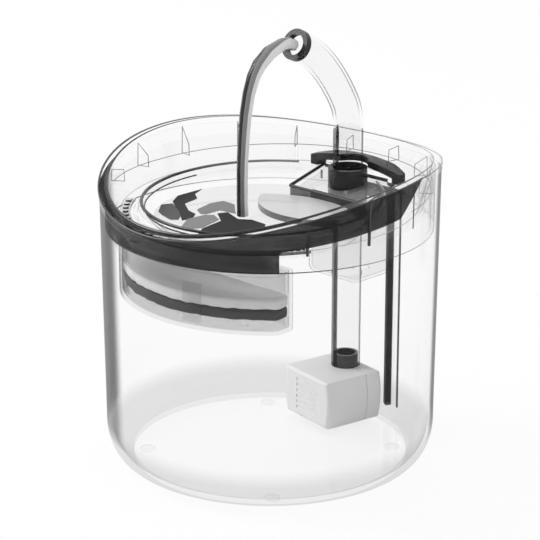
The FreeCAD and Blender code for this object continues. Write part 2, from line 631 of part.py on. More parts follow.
def basket_holes(z0, z1):
    """A regular field of round holes over the basket's plan."""
    holes = []
    reach = BASKET_HALF_WIDTH - BASKET_HOLE_PITCH
    columns = int(2 * reach / BASKET_HOLE_PITCH) + 1
    rows = int((BASKET_RADIUS + BASKET_BACK_Y) / BASKET_HOLE_PITCH) + 1
    for row in range(rows):
        y = BASKET_BACK_Y - BASKET_HOLE_PITCH * (row + 0.7)
        for column in range(columns):
            x = (column - (columns - 1) / 2) * BASKET_HOLE_PITCH
            if math.hypot(x, y) < BASKET_RADIUS - BASKET_HOLE_RADIUS - 2 * BASKET_WALL:
                holes.append(rod(BASKET_HOLE_RADIUS, z0 - 1, z1 + 1, x, y))
    return holes


def make_filter_basket():
    solid = basket_layer(0, BASKET_BOTTOM, BASKET_TOP)
    solid = solid.cut(basket_layer(BASKET_WALL, BASKET_BOTTOM + BASKET_WALL, BASKET_TOP + 1))
    return solid.cut(basket_holes(BASKET_BOTTOM, BASKET_BOTTOM + BASKET_WALL))


def filter_levels():
    """Heights of the grid's top, the carbon's top and the floss's top."""
    grid = BASKET_BOTTOM + BASKET_WALL + BASKET_GRID_SPACE
    carbon = grid + CARBON_HEIGHT
    return grid, carbon, carbon + FLOSS_HEIGHT


def make_basket_grid():
    """A raised perforated plate on a low edge wall."""
    grid, _, _ = filter_levels()
    inset = BASKET_WALL + MOVING_GAP
    low = BASKET_BOTTOM + BASKET_WALL + TOUCH_GAP
    solid = basket_layer(inset, low, grid)
    solid = solid.cut(basket_layer(inset + BASKET_WALL, low - 1, grid - BASKET_WALL))
    return solid.cut(basket_holes(low, grid))


def make_filter_lid():
    """A flat slotted plate that closes the basket."""
    inset = BASKET_WALL + MOVING_GAP
    low = BASKET_TOP - BASKET_WALL
    solid = basket_layer(inset, low, BASKET_TOP)
    slots = []
    for index in range(LID_SLOTS):
        x = (index - (LID_SLOTS - 1) / 2) * 3 * LID_SLOT_WIDTH
        slots.append(box(x - LID_SLOT_WIDTH / 2, x + LID_SLOT_WIDTH / 2,
                         BASKET_BACK_Y - LID_SLOT_INSET - LID_SLOT_LENGTH,
                         BASKET_BACK_Y - LID_SLOT_INSET, low - 1, BASKET_TOP + 1))
    return solid.cut(slots)


def make_lid_frame():
    """Spacer wall between the floss and the lid."""
    _, _, floss = filter_levels()
    inset = BASKET_WALL + MOVING_GAP
    low = floss + TOUCH_GAP
    high = BASKET_TOP - BASKET_WALL - TOUCH_GAP
    return basket_layer(inset, low, high).cut(basket_layer(inset + BASKET_WALL, low - 1, high + 1))


def make_basket_tab():
    """Thumb tab on the basket's outer wall."""
    low = BASKET_BOTTOM + TAB_RISE
    radius = BASKET_RADIUS + TOUCH_GAP
    half = math.degrees(TAB_WIDTH / 2 / radius)
    tab = sector(radius + TAB_THICKNESS, radius, low, low + TAB_HEIGHT, half)
    tab.rotate(vec(0, 0, 0), UP, TAB_ANGLE)
    return tab


def place_pump(shape):
    """Move a pump piece from the pump's own frame, whose outlet is behind its centre."""
    shape.translate(vec(0, -OUTLET_BEHIND_CENTRE, 0))
    shape.rotate(vec(0, 0, 0), UP, PUMP_TURN)
    shape.translate(vec(0, SPOUT_Y, 0))
    return shape


def pump_prism(y0, y1, inset):
    """The pump's bulged cross-section run from y0 to y1 in the pump's frame."""
    half = PUMP_WIDTH / 2 - inset
    low = PUMP_BOTTOM + inset
    high = PUMP_TOP - inset
    right = Part.Arc(vec(half, y0, low), vec(half + PUMP_BULGE, y0, SHAFT_HEIGHT), vec(half, y0, high))
    left = Part.Arc(vec(-half, y0, high), vec(-half - PUMP_BULGE, y0, SHAFT_HEIGHT), vec(-half, y0, low))
    edges = [Part.makeLine(vec(-half, y0, low), vec(half, y0, low)), right.toShape(),
             Part.makeLine(vec(half, y0, high), vec(-half, y0, high)), left.toShape()]
    return Part.Face(Part.Wire(edges)).extrude(vec(0, y1 - y0, 0))


def end_edges(shape, y):
    """The edges of a pump prism that lie in the plane of its closed end."""
    return [edge for edge in shape.Edges
            if abs(edge.BoundBox.YMin - y) < 0.01 and abs(edge.BoundBox.YMax - y) < 0.01]


def outlet_notch():
    return rod(NIPPLE_RADIUS + MOVING_GAP, SHAFT_HEIGHT, PUMP_TOP + 1, 0, OUTLET_BEHIND_CENTRE)


def cup_places(front):
    """Centres of one pair of suction cups in the pump's frame."""
    y = -PUMP_LENGTH / 2 + CUP_INSET if front else PUMP_LENGTH / 2 - CUP_INSET
    for x in (-PUMP_WIDTH / 2 + CUP_INSET, PUMP_WIDTH / 2 - CUP_INSET):
        yield x, y


def make_suction_cup(x, y):
    cup = Part.makeCone(CUP_RADIUS, CUP_RADIUS * 0.7, CUP_HEIGHT - TOUCH_GAP, vec(x, y, TANK_INSIDE_FLOOR))
    neck = rod(CUP_NECK_RADIUS, TANK_INSIDE_FLOOR, PUMP_BOTTOM + CUP_NECK_HEIGHT, x, y)
    return cup.fuse(neck)


def cup_holes(front):
    return [rod(CUP_NECK_RADIUS + TOUCH_GAP, 0, PUMP_BOTTOM + CUP_NECK_HEIGHT + TOUCH_GAP, x, y)
            for x, y in cup_places(front)]


def make_pump_cover():
    """Front housing with intake slots; it pulls forward off the motor."""
    front = -PUMP_LENGTH / 2
    solid = pump_prism(front, SEAM_Y, 0)
    solid = solid.makeFillet(PUMP_CORNER, end_edges(solid, front))
    solid = solid.cut(pump_prism(front + PUMP_WALL, SEAM_Y + 1, PUMP_WALL))
    slots = []
    for index in range(INTAKE_SLOTS):
        z = SHAFT_HEIGHT + (index - (INTAKE_SLOTS - 1) / 2) * 2 * INTAKE_SLOT_WIDTH
        slots.append(box(-PUMP_WIDTH / 4, PUMP_WIDTH / 4, front - 1, front + PUMP_WALL + 1,
                         z - INTAKE_SLOT_WIDTH / 2, z + INTAKE_SLOT_WIDTH / 2))
    knob_hole = rod_x(KNOB_STEM_RADIUS + RUNNING_GAP, -PUMP_WIDTH, 0, -KNOB_FORWARD, SHAFT_HEIGHT)
    return solid.cut(slots + [knob_hole, outlet_notch()] + cup_holes(True))


def make_intake_sponge():
    front = -PUMP_LENGTH / 2 + PUMP_WALL + TOUCH_GAP
    half = PUMP_WIDTH / 2 - PUMP_WALL - 2
    return box(-half, half, front, front + SPONGE_THICKNESS,
               PUMP_BOTTOM + PUMP_WALL + TOUCH_GAP, PUMP_TOP - PUMP_WALL - MOVING_GAP)


def make_flow_knob():
    """Flow control knob with its stem through the cover's side."""
    side = -PUMP_WIDTH / 2 - PUMP_BULGE - MOVING_GAP
    cap = rod_x(KNOB_RADIUS, side - KNOB_LENGTH, side, -KNOB_FORWARD, SHAFT_HEIGHT)
    grip = box(side - KNOB_LENGTH - 1.2, side - KNOB_LENGTH, -KNOB_FORWARD - KNOB_RADIUS + 1,
               -KNOB_FORWARD + KNOB_RADIUS - 1, SHAFT_HEIGHT - 0.8, SHAFT_HEIGHT + 0.8)
    stem = rod_x(KNOB_STEM_RADIUS, side, side + PUMP_WALL + 1.2, -KNOB_FORWARD, SHAFT_HEIGHT)
    return cap.fuse([grip, stem])


def make_pump_case():
    """Rear housing of the motor."""
    back = PUMP_LENGTH / 2
    front = SEAM_Y + MOVING_GAP
    solid = pump_prism(front, back, 0)
    solid = solid.makeFillet(PUMP_CORNER, end_edges(solid, back))
    solid = solid.cut(pump_prism(front - 1, back - PUMP_WALL, PUMP_WALL))
    gland_hole = rod_y(GLAND_BORE_RADIUS + 1.2, front, back + 1, 0, PUMP_BOTTOM + 7)
    return solid.cut([outlet_notch(), gland_hole] + cup_holes(False))


def make_cord_gland():
    """Moulded rubber inlet for the lead on the back of the motor."""
    back = PUMP_LENGTH / 2
    z = PUMP_BOTTOM + 7
    flange = rod_y(GLAND_RADIUS, back + TOUCH_GAP, back + GLAND_LENGTH, 0, z)
    neck = rod_y(GLAND_BORE_RADIUS + 1.1, back - PUMP_WALL, back + TOUCH_GAP + 1, 0, z)
    return flange.fuse(neck).cut(rod_y(GLAND_BORE_RADIUS, back - PUMP_WALL + 1, back + 9, 0, z))


def volute_span():
    front = OUTLET_BEHIND_CENTRE - VOLUTE_LENGTH / 2
    return front, front + VOLUTE_LENGTH


def make_volute():
    """Impeller chamber with the outlet nipple that the riser pushes onto."""
    front, back = volute_span()
    nipple_top = PUMP_TOP + NIPPLE_RISE
    solid = rod_y(VOLUTE_RADIUS, front, back, 0, SHAFT_HEIGHT)
    solid = solid.fuse(rod(NIPPLE_RADIUS, SHAFT_HEIGHT, nipple_top, 0, OUTLET_BEHIND_CENTRE)
                       .common(box(-REACH, REACH, front, back, 0, PUMP_TOP))
                       .fuse(rod(NIPPLE_RADIUS, PUMP_TOP, nipple_top, 0, OUTLET_BEHIND_CENTRE)))
    bore = NIPPLE_RADIUS - NIPPLE_WALL
    solid = solid.cut(rod_y(VOLUTE_RADIUS - VOLUTE_WALL, front + VOLUTE_WALL, back - VOLUTE_WALL,
                            0, SHAFT_HEIGHT))
    solid = solid.cut(rod(bore, SHAFT_HEIGHT, nipple_top + 1, 0, OUTLET_BEHIND_CENTRE)
                      .common(box(-REACH, REACH, front + VOLUTE_WALL, back - VOLUTE_WALL, 0, PUMP_TOP)
                              .fuse(rod(REACH, PUMP_TOP, nipple_top + 1))))
    solid = solid.cut(rod_y(SLEEVE_BORE_RADIUS, front - 1, front + 2, 0, SHAFT_HEIGHT))
    inlets = []
    for turn in (90, 210, 330):
        angle = math.radians(turn)
        inlets.append(rod_y(1.8, back - VOLUTE_WALL - 1, back + 1, 5.4 * math.cos(angle),
                            SHAFT_HEIGHT + 5.4 * math.sin(angle)))
    bush_seat = rod_y(BUSH_RADIUS + TOUCH_GAP, back - VOLUTE_WALL - 1, back + 1, 0, SHAFT_HEIGHT)
    return solid.cut(inlets + [bush_seat])


def impeller_start():
    front, _ = volute_span()
    return front + VOLUTE_WALL + MOVING_GAP


def magnet_start():
    return impeller_start() - TOUCH_GAP - MAGNET_LENGTH


def sleeve_front():
    return magnet_start() - MOVING_GAP - BUSH_LENGTH - TOUCH_GAP


def make_rotor_sleeve():
    """Sealed thin can round the magnet, closed in front."""
    front, _ = volute_span()
    solid = rod_y(SLEEVE_BORE_RADIUS + SLEEVE_WALL, sleeve_front() - SLEEVE_WALL, front - TOUCH_GAP,
                  0, SHAFT_HEIGHT)
    return solid.cut(rod_y(SLEEVE_BORE_RADIUS, sleeve_front(), front, 0, SHAFT_HEIGHT))


def bush_places():
    _, back = volute_span()
    return [sleeve_front() + TOUCH_GAP, back - BUSH_LENGTH]


def make_shaft_bush(start):
    solid = rod_y(BUSH_RADIUS, start, start + BUSH_LENGTH, 0, SHAFT_HEIGHT)
    return solid.cut(rod_y(SHAFT_RADIUS, start - 1, start + BUSH_LENGTH + 1, 0, SHAFT_HEIGHT))


def make_rotor_shaft():
    first, last = bush_places()
    return rod_y(SHAFT_RADIUS, first, last + BUSH_LENGTH, 0, SHAFT_HEIGHT)


def make_rotor_magnet():
    start = magnet_start()
    solid = rod_y(MAGNET_RADIUS, start, start + MAGNET_LENGTH, 0, SHAFT_HEIGHT)
    return solid.cut(rod_y(SHAFT_RADIUS + RUNNING_GAP, start - 1, start + MAGNET_LENGTH + 1, 0, SHAFT_HEIGHT))


def make_impeller():
    """Hub and straight blades on the end of the magnet."""
    start = impeller_start()
    solid = rod_y(MAGNET_RADIUS * 0.7, start, start + IMPELLER_LENGTH, 0, SHAFT_HEIGHT)
    disc = rod_y(IMPELLER_RADIUS, start, start + BLADE_THICKNESS, 0, SHAFT_HEIGHT)
    blades = [disc]
    for index in range(IMPELLER_BLADES):
        blade = box(0, IMPELLER_RADIUS, start, start + IMPELLER_LENGTH, -BLADE_THICKNESS / 2, BLADE_THICKNESS / 2)
        blade.rotate(vec(0, 0, 0), vec(0, 1, 0), index * 360 / IMPELLER_BLADES)
        blade.translate(vec(0, 0, SHAFT_HEIGHT))
        blades.append(blade)
    solid = solid.fuse(blades)
    return solid.cut(rod_y(SHAFT_RADIUS + RUNNING_GAP, start - 1, start + IMPELLER_LENGTH + 1, 0, SHAFT_HEIGHT))


def make_stator_core():
    """Laminated block round the sleeve."""
    front, _ = volute_span()
    start = front - STATOR_LENGTH - TOUCH_GAP
    half = STATOR_HALF_WIDTH
    solid = box(-half, half, start, start + STATOR_LENGTH,
                PUMP_BOTTOM + PUMP_WALL + MOVING_GAP, PUMP_TOP - PUMP_WALL - MOVING_GAP)
    bore = SLEEVE_BORE_RADIUS + SLEEVE_WALL + TOUCH_GAP
    return solid.cut(rod_y(bore, start - 1, start + STATOR_LENGTH + 1, 0, SHAFT_HEIGHT))


def make_stator_coil():
    front, _ = volute_span()
    end = front - STATOR_LENGTH - 2 * TOUCH_GAP
    solid = rod_y(COIL_RADIUS, end - COIL_LENGTH, end, 0, SHAFT_HEIGHT)
    bore = SLEEVE_BORE_RADIUS + SLEEVE_WALL + TOUCH_GAP
    return solid.cut(rod_y(bore, end - COIL_LENGTH - 1, end + 1, 0, SHAFT_HEIGHT))


def make_riser():
    radius = RISER_DIAMETER / 2
    return tube(radius, radius - RISER_WALL, PUMP_TOP + MOVING_GAP, RISER_TOP, 0, SPOUT_Y)


def make_stem():
    radius = SPOUT_DIAMETER / 2
    return tube(radius, radius - SPOUT_WALL, STEM_BOTTOM, STEM_TOP, 0, SPOUT_Y)


def make_coupling():
    """Inner sleeve that joins the stem to the arch."""
    radius = SPOUT_DIAMETER / 2 - SPOUT_WALL - TOUCH_GAP
    top = STEM_TOP + SPOUT_STRAIGHT
    return tube(radius, radius - COUPLING_WALL, top - COUPLING_LENGTH, top, 0, SPOUT_Y)


save(make_tank(), "tank")
for number, (foot_x, foot_y) in enumerate(foot_places(), 1):
    save(rod(FOOT_RADIUS, 0, FOOT_PROUD + FOOT_RECESS - TOUCH_GAP, foot_x, foot_y), f"foot_pad_{number}")

save(make_tray_frame(), "tray_frame")
save(make_bowl(), "bowl")
save(make_splash_shelf(), "splash_shelf")
save(make_drain_grate(), "drain_grate")
save(make_rear_well(), "rear_well")
save(make_cord_conduit(), "cord_conduit")
save(make_spout_socket(), "spout_socket")
save(make_rear_bridge(), "rear_bridge")

save(make_stem(), "spout_stem")
save(make_spout_arch(), "spout_arch")
save(make_coupling(), "spout_coupling")
save(make_outlet_ring(), "outlet_ring")
save(make_riser(), "riser_tube")

grid_top, carbon_top, floss_top = filter_levels()
layer_inset = BASKET_WALL + MOVING_GAP
save(make_filter_basket(), "filter_basket")
save(make_basket_grid(), "basket_grid")
save(basket_layer(layer_inset, grid_top + TOUCH_GAP, carbon_top), "filter_carbon")
save(basket_layer(layer_inset, carbon_top + TOUCH_GAP, floss_top), "filter_floss")
save(make_lid_frame(), "lid_frame")
save(make_filter_lid(), "filter_lid")
save(make_basket_tab(), "basket_tab")

save(place_pump(make_pump_cover()), "pump_cover")
save(place_pump(make_intake_sponge()), "intake_sponge")
save(place_pump(make_flow_knob()), "flow_knob")
save(place_pump(make_pump_case()), "pump_case")
save(place_pump(make_cord_gland()), "cord_gland")
save(place_pump(make_volute()), "volute")
save(place_pump(make_rotor_sleeve()), "rotor_sleeve")
save(place_pump(make_rotor_shaft()), "rotor_shaft")
save(place_pump(make_rotor_magnet()), "rotor_magnet")
save(place_pump(make_impeller()), "impeller")
save(place_pump(make_stator_core()), "stator_core")
save(place_pump(make_stator_coil()), "stator_coil")
for number, start_y in enumerate(bush_places(), 1):
    save(place_pump(make_shaft_bush(start_y)), f"shaft_bush_{number}")
cup_centres = list(cup_places(True)) + list(cup_places(False))
for number, (cup_x, cup_y) in enumerate(cup_centres, 1):
    save(place_pump(make_suction_cup(cup_x, cup_y)), f"suction_cup_{number}")
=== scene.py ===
import math

import bpy
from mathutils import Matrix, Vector, noise


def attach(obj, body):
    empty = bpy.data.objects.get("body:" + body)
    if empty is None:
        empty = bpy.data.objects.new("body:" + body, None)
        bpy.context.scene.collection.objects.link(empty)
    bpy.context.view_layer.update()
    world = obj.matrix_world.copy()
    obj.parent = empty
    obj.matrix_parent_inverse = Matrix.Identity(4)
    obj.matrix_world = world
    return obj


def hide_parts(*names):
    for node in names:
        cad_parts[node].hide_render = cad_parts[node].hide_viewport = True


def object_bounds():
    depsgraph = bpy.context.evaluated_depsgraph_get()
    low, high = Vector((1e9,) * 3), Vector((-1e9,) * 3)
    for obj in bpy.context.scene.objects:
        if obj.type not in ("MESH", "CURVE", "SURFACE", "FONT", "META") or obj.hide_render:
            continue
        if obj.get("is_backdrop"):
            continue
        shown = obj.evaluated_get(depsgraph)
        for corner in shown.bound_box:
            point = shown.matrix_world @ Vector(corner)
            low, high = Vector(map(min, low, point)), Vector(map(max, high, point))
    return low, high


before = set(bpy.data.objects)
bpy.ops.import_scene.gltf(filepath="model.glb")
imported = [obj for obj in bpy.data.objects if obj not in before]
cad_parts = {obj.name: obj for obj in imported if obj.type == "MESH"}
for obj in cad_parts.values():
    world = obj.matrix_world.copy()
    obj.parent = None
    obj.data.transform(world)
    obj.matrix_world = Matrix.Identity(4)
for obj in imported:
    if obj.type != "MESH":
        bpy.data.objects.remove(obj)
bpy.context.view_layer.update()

# Tank: one deep cup of clear styrene acrylonitrile with a thick rounded base, injection moulded.
# The polished mould leaves it glass clear, and the thick base is tinted a little grey. The grey on grazing
# walls is painted shade; it is broader on the wall turned to LEFT, the dark side of the room, than on the
# other.
TANK_FACE = "#FEFEFE"
TANK_EDGE_SHADE = "#A4A4A4"
TANK_BASE = "#F1F1F1"
BASE_TOP = 0.0245
BASE_INNER_RADIUS = 0.0722
BASE_FADE = 0.012
OUTER_FACE = 0.0857
LEFT = (-0.719, -0.695, 0.0)
SIDE_BLEND = 0.05
LEFT_EDGE = (0.58, 0.71)
RIGHT_EDGE = (0.76, 0.86)
TANK_GLOSS = 0.4
UPRIGHT = (0.55, 0.95)
CLEAR_IOR = 1.57
POLISHED = 0.05
SHARP_DEGREES = 32


def linear(hex_colour):
    """The linear colour of an sRGB hex value."""
    parts = [int(hex_colour[i:i + 2], 16) / 255 for i in (1, 3, 5)]
    return [p / 12.92 if p <= 0.04045 else ((p + 0.055) / 1.055) ** 2.4 for p in parts] + [1.0]


def add_node(material, kind, settings, links, output=None):
    """Add one node with its settings and links; gives the named output, or its first one in use."""
    made = material.node_tree.nodes.new(kind)
    for name, value in settings.items():
        if isinstance(name, str) and hasattr(made, name):
            setattr(made, name, value)
        else:
            made.inputs[name].default_value = value
    for name, source in links.items():
        material.node_tree.links.new(source, made.inputs[name])
    if output:
        return made.outputs[output]
    return next((socket for socket in made.outputs if socket.enabled), None)


def new_material(name):
    material = bpy.data.materials.new(name)
    material.use_nodes = True
    material.node_tree.nodes.clear()
    return material


def blend_step(begin, end, low=0.0, high=1.0):
    """Settings of a smooth step from low to high."""
    return {"interpolation_type": "SMOOTHSTEP", "From Min": begin, "From Max": end,
            "To Min": low, "To Max": high}


def round_place(material):
    """The surface's distance from the tank's axis, and its height."""
    spot = add_node(material, "ShaderNodeNewGeometry", {}, {}, "Position")
    flat = add_node(material, "ShaderNodeVectorMath", {"operation": "MULTIPLY", 1: (1, 1, 0)}, {0: spot})
    radius = add_node(material, "ShaderNodeVectorMath", {"operation": "LENGTH"}, {0: flat}, "Value")
    height = add_node(material, "ShaderNodeSeparateXYZ", {}, {0: spot}, "Z")
    return radius, height


def steepness(material, begin, end):
    """1 on upright faces and 0 on level ones."""
    normal = add_node(material, "ShaderNodeNewGeometry", {}, {}, "Normal")
    up = add_node(material, "ShaderNodeSeparateXYZ", {}, {0: normal}, "Z")
    level = add_node(material, "ShaderNodeMath", {"operation": "ABSOLUTE"}, {0: up})
    return add_node(material, "ShaderNodeMapRange", blend_step(begin, end, 1.0, 0.0), {"Value": level})


def grazing(material, begin, end):
    """0 where an upright wall faces the eye and 1 where it is seen edge-on; level faces stay at 0."""
    facing = add_node(material, "ShaderNodeLayerWeight", {"Blend": 0.5}, {}, "Facing")
    edge = add_node(material, "ShaderNodeMapRange", blend_step(begin, end), {"Value": facing})
    upright = steepness(material, *UPRIGHT)
    return add_node(material, "ShaderNodeMath", {"operation": "MULTIPLY"}, {0: edge, 1: upright})


def clear_finish(material, tint, gloss=0.3):
    """Light goes straight through, tinted by a hex colour or a node's output, under a polish.

    Gloss is the share kept of the reflection; only the front of a face reflects.
    """
    plain = isinstance(tint, str)
    see_through = add_node(material, "ShaderNodeBsdfTransparent", {"Color": linear(tint)} if plain else {},
                           {} if plain else {"Color": tint})
    shine = add_node(material, "ShaderNodeBsdfGlossy", {"Roughness": POLISHED}, {})
    fresnel = add_node(material, "ShaderNodeFresnel", {"IOR": CLEAR_IOR}, {})
    amount = add_node(material, "ShaderNodeMath", {"operation": "MULTIPLY", 1: gloss}, {0: fresnel})
    back = add_node(material, "ShaderNodeNewGeometry", {}, {}, "Backfacing")
    front = add_node(material, "ShaderNodeMath", {"operation": "SUBTRACT", 0: 1.0}, {1: back})
    amount = add_node(material, "ShaderNodeMath", {"operation": "MULTIPLY"}, {0: amount, 1: front})
    mixed = add_node(material, "ShaderNodeMixShader", {}, {0: amount, 1: see_through, 2: shine})
    add_node(material, "ShaderNodeOutputMaterial", {}, {"Surface": mixed})


def dress(material, *names):
    """Give CAD nodes a material, and smooth shading that stops at sharp edges."""
    for name in names:
        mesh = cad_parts[name].data
        mesh.materials.clear()
        mesh.materials.append(material)
        mesh.shade_smooth()
        mesh.set_sharp_from_angle(angle=math.radians(SHARP_DEGREES))


tank_plastic = new_material("Clear moulded SAN")
spot = add_node(tank_plastic, "ShaderNodeNewGeometry", {}, {}, "Position")
leftward = add_node(tank_plastic, "ShaderNodeVectorMath", {"operation": "DOT_PRODUCT", 1: LEFT}, {0: spot},
                    "Value")
side = add_node(tank_plastic, "ShaderNodeMapRange", blend_step(-SIDE_BLEND, SIDE_BLEND), {"Value": leftward})
left_edge = grazing(tank_plastic, *LEFT_EDGE)
right_edge = grazing(tank_plastic, *RIGHT_EDGE)
edge = add_node(tank_plastic, "ShaderNodeMix", {}, {0: side, 2: right_edge, 3: left_edge})
radius, height = round_place(tank_plastic)
skin = add_node(tank_plastic, "ShaderNodeMath", {"operation": "GREATER_THAN", 1: OUTER_FACE}, {0: radius})
edge = add_node(tank_plastic, "ShaderNodeMath", {"operation": "MULTIPLY"}, {0: edge, 1: skin})
# Painted shade: upright outer walls turn grey where seen edge-on, more broadly on the side turned to LEFT.
wall_edge_shade = add_node(tank_plastic, "ShaderNodeMix",
                     {"data_type": "RGBA", 6: linear(TANK_FACE), 7: linear(TANK_EDGE_SHADE)}, {0: edge})
outside = add_node(tank_plastic, "ShaderNodeMath", {"operation": "GREATER_THAN", 1: BASE_INNER_RADIUS},
                   {0: radius})
low_down = add_node(tank_plastic, "ShaderNodeMapRange", blend_step(BASE_FADE, BASE_TOP, 1.0, 0.0),
                    {"Value": height})
in_base = add_node(tank_plastic, "ShaderNodeMath", {"operation": "MULTIPLY"}, {0: outside, 1: low_down})
tank_tint_and_shade = add_node(tank_plastic, "ShaderNodeMix", {"data_type": "RGBA", 7: linear(TANK_BASE)},
                     {0: in_base, 6: wall_edge_shade})
clear_finish(tank_plastic, tank_tint_and_shade, TANK_GLOSS)
dress(tank_plastic, "tank")

# Foot pads: four soft silicone discs pressed into recesses under the tank.
# Milky and matt, so they show as faint pale spots through the floor.
foot_rubber = new_material("Translucent silicone")
milky = add_node(foot_rubber, "ShaderNodeBsdfPrincipled",
                 {"Base Color": linear("#EDEDED"), "Roughness": 0.6, "Alpha": 0.12}, {})
add_node(foot_rubber, "ShaderNodeOutputMaterial", {}, {"Surface": milky})
dress(foot_rubber, *[f"foot_pad_{number}" for number in range(1, 5)])

# Pump: two white ABS shells with a fine spark-eroded texture, snapped together.
# The texture keeps the highlight soft; rubber, acetal, steel and copper parts sit in and under it.


def solid_finish(name, colour, roughness, grain_mm, depth, variation=0.04, metallic=0.0):
    """An opaque moulded or ground surface with a fine grain in its bump and colour."""
    material = new_material(name)
    place = add_node(material, "ShaderNodeTexCoord", {}, {}, "Object")
    grain = add_node(material, "ShaderNodeTexNoise", {"Scale": 1000 / grain_mm, "Detail": 3.0},
                     {"Vector": place})
    dark = [channel * (1 - 2 * variation) for channel in linear(colour)[:3]] + [1.0]
    paint = add_node(material, "ShaderNodeMix", {"data_type": "RGBA", 6: dark, 7: linear(colour)}, {0: grain})
    bump = add_node(material, "ShaderNodeBump", {"Strength": 0.4, "Distance": depth}, {"Height": grain})
    body = add_node(material, "ShaderNodeBsdfPrincipled", {"Roughness": roughness, "Metallic": metallic},
                    {"Base Color": paint, "Normal": bump})
    add_node(material, "ShaderNodeOutputMaterial", {}, {"Surface": body})
    return material


pump_abs = solid_finish("Spark-textured white ABS", "#E6E6E6", 0.5, 0.8, 0.00002)
dress(pump_abs, "pump_cover", "pump_case", "flow_knob")
rubber = solid_finish("Moulded black rubber", "#222222", 0.55, 0.6, 0.00003)
dress(rubber, "cord_gland", *[f"suction_cup_{number}" for number in range(1, 5)])
acetal = solid_finish("Black acetal", "#2B2B2B", 0.3, 0.5, 0.00001)
dress(acetal, "volute", "rotor_sleeve", "impeller")
steel = solid_finish("Ground stainless steel", "#B8B8B8", 0.28, 0.3, 0.00001, metallic=1.0)
dress(steel, "rotor_shaft", "stator_core")
ferrite = solid_finish("Sintered ferrite", "#3A3A3C", 0.6, 0.4, 0.00002)
dress(ferrite, "rotor_magnet", "shaft_bush_1", "shaft_bush_2")
copper = solid_finish("Enamelled copper wire", "#8C4A22", 0.35, 0.35, 0.00005, metallic=1.0)
dress(copper, "stator_coil")


SMOOTH_ROUNDS = 4
LUMP_VOXELS = 4
LUMP_SINK = 0.6
PUSHED_FACING = 0.7


def soft_copy(node, name, body, material, voxel, fuzz, push=Vector((0, 0, 0))):
    """A soft piece in the place of a CAD solid, edges rounded, faces uneven, one face pushed out."""
    piece = bpy.data.objects.new(name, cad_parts[node].data.copy())
    bpy.context.scene.collection.objects.link(piece)
    remesh = piece.modifiers.new("remesh", "REMESH")
    remesh.mode = "VOXEL"
    remesh.voxel_size = voxel
    smooth = piece.modifiers.new("smooth", "SMOOTH")
    smooth.iterations = SMOOTH_ROUNDS
    graph = bpy.context.evaluated_depsgraph_get()
    mesh = bpy.data.meshes.new_from_object(piece.evaluated_get(graph))
    piece.modifiers.clear()
    piece.data = mesh
    for vertex in mesh.vertices:
        rise = noise.noise(vertex.co / (LUMP_VOXELS * voxel)) - LUMP_SINK
        pushed = vertex.normal.dot(push.normalized()) > PUSHED_FACING
        vertex.co += vertex.normal * fuzz * rise + push * pushed
    mesh.materials.clear()
    mesh.materials.append(material)
    mesh.shade_smooth()
    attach(piece, body)
    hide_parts(node)


# Intake sponge: a block of open polyether foam behind the cover's slots, cut oversize and pushed in.
# Pale, with pores of about one millimetre.
foam = solid_finish("Open polyether foam", "#ECECEC", 0.95, 1.2, 0.0002, 0.05)
SWELL = 0.0015
PUMP_FRONT = (-0.184, -0.983, 0.0)
swollen = Vector(PUMP_FRONT) * SWELL
soft_copy("intake_sponge", "intake_foam", "pump_cover", foam, voxel=0.0008, fuzz=0.0002,
          push=swollen)

# Riser: clear acrylic tube pushed on the pump's nipple. Light bends in its wall; a grey band on one side
# and a grey line along the other edge stand for it as painted shade, and between them it stays bright.
TUBE_AXIS_Y = 0.0595
TUBE_BAND = 0.0048
TUBE_EDGE = 0.0069
TUBE_FADE = 0.0004
TUBE_CLEAR = "#FDFDFD"
TUBE_SHADE = "#BEBEBE"
tube_acrylic = new_material("Extruded clear acrylic tube")
spot = add_node(tube_acrylic, "ShaderNodeNewGeometry", {}, {}, "Position")
from_axis = add_node(tube_acrylic, "ShaderNodeVectorMath",
                     {"operation": "SUBTRACT", 1: (0, TUBE_AXIS_Y, 0)}, {0: spot})
leftward = add_node(tube_acrylic, "ShaderNodeVectorMath", {"operation": "DOT_PRODUCT", 1: LEFT},
                    {0: from_axis}, "Value")
band = add_node(tube_acrylic, "ShaderNodeMapRange", blend_step(TUBE_BAND, TUBE_BAND + TUBE_FADE),
                {"Value": leftward})
rim_line = add_node(tube_acrylic, "ShaderNodeMapRange",
                    blend_step(-TUBE_EDGE - TUBE_FADE, -TUBE_EDGE, 1.0, 0.0), {"Value": leftward})
shade = add_node(tube_acrylic, "ShaderNodeMath", {"operation": "MAXIMUM"}, {0: band, 1: rim_line})
tube_tint_and_shade = add_node(tube_acrylic, "ShaderNodeMix",
                     {"data_type": "RGBA", 6: linear(TUBE_CLEAR), 7: linear(TUBE_SHADE)}, {0: shade})
clear_finish(tube_acrylic, tube_tint_and_shade)
dress(tube_acrylic, "riser_tube")

# Tray frame: lip, inclined wall, ledge and skirt in one injection moulding of clear plastic.
# It is polished, so its walls hardly show: where seen edge-on they turn a little grey, painted shade. Its
# moulded edges are drawn by thin beads of painted shade: black towards the front, grey towards the back.
RIM_AXIS = -0.1185
RIM_ARC = 0.2815
RIM_PEAK_Y = 0.02625
LEDGE = 0.1359
LEDGE_SLOPE = 0.04
LEDGE_RADIUS = 0.0768
LIP_OUTER_RADIUS = 0.0874
LIP_OUTER_DROP = 0.0007
LIP_INNER_RADIUS = 0.0833
LIP_INNER_DROP = 0.0004
SKIRT_RADIUS = 0.0842
SKIRT_BOTTOM = 0.1261
THIN_BEAD = 0.0002
LEDGE_BEAD = 0.00013
LIP_OUTER_BEAD = (0.00022, 0.00067, (-0.4, -0.9, 0))
LIP_INNER_BEAD = (0.00015, 0.0009, (0.1, -0.99, 0))
SKIRT_BEAD = (0.0001, 0.0005, (-0.3, -0.95, 0))
TRAY_GRAZING = (0.75, 0.95)
GREY_TO_BLACK = (-0.07, 0.01)
FRONTWARD = (0.2, -0.98, 0.0)
TRAY_GLOSS = 0.5

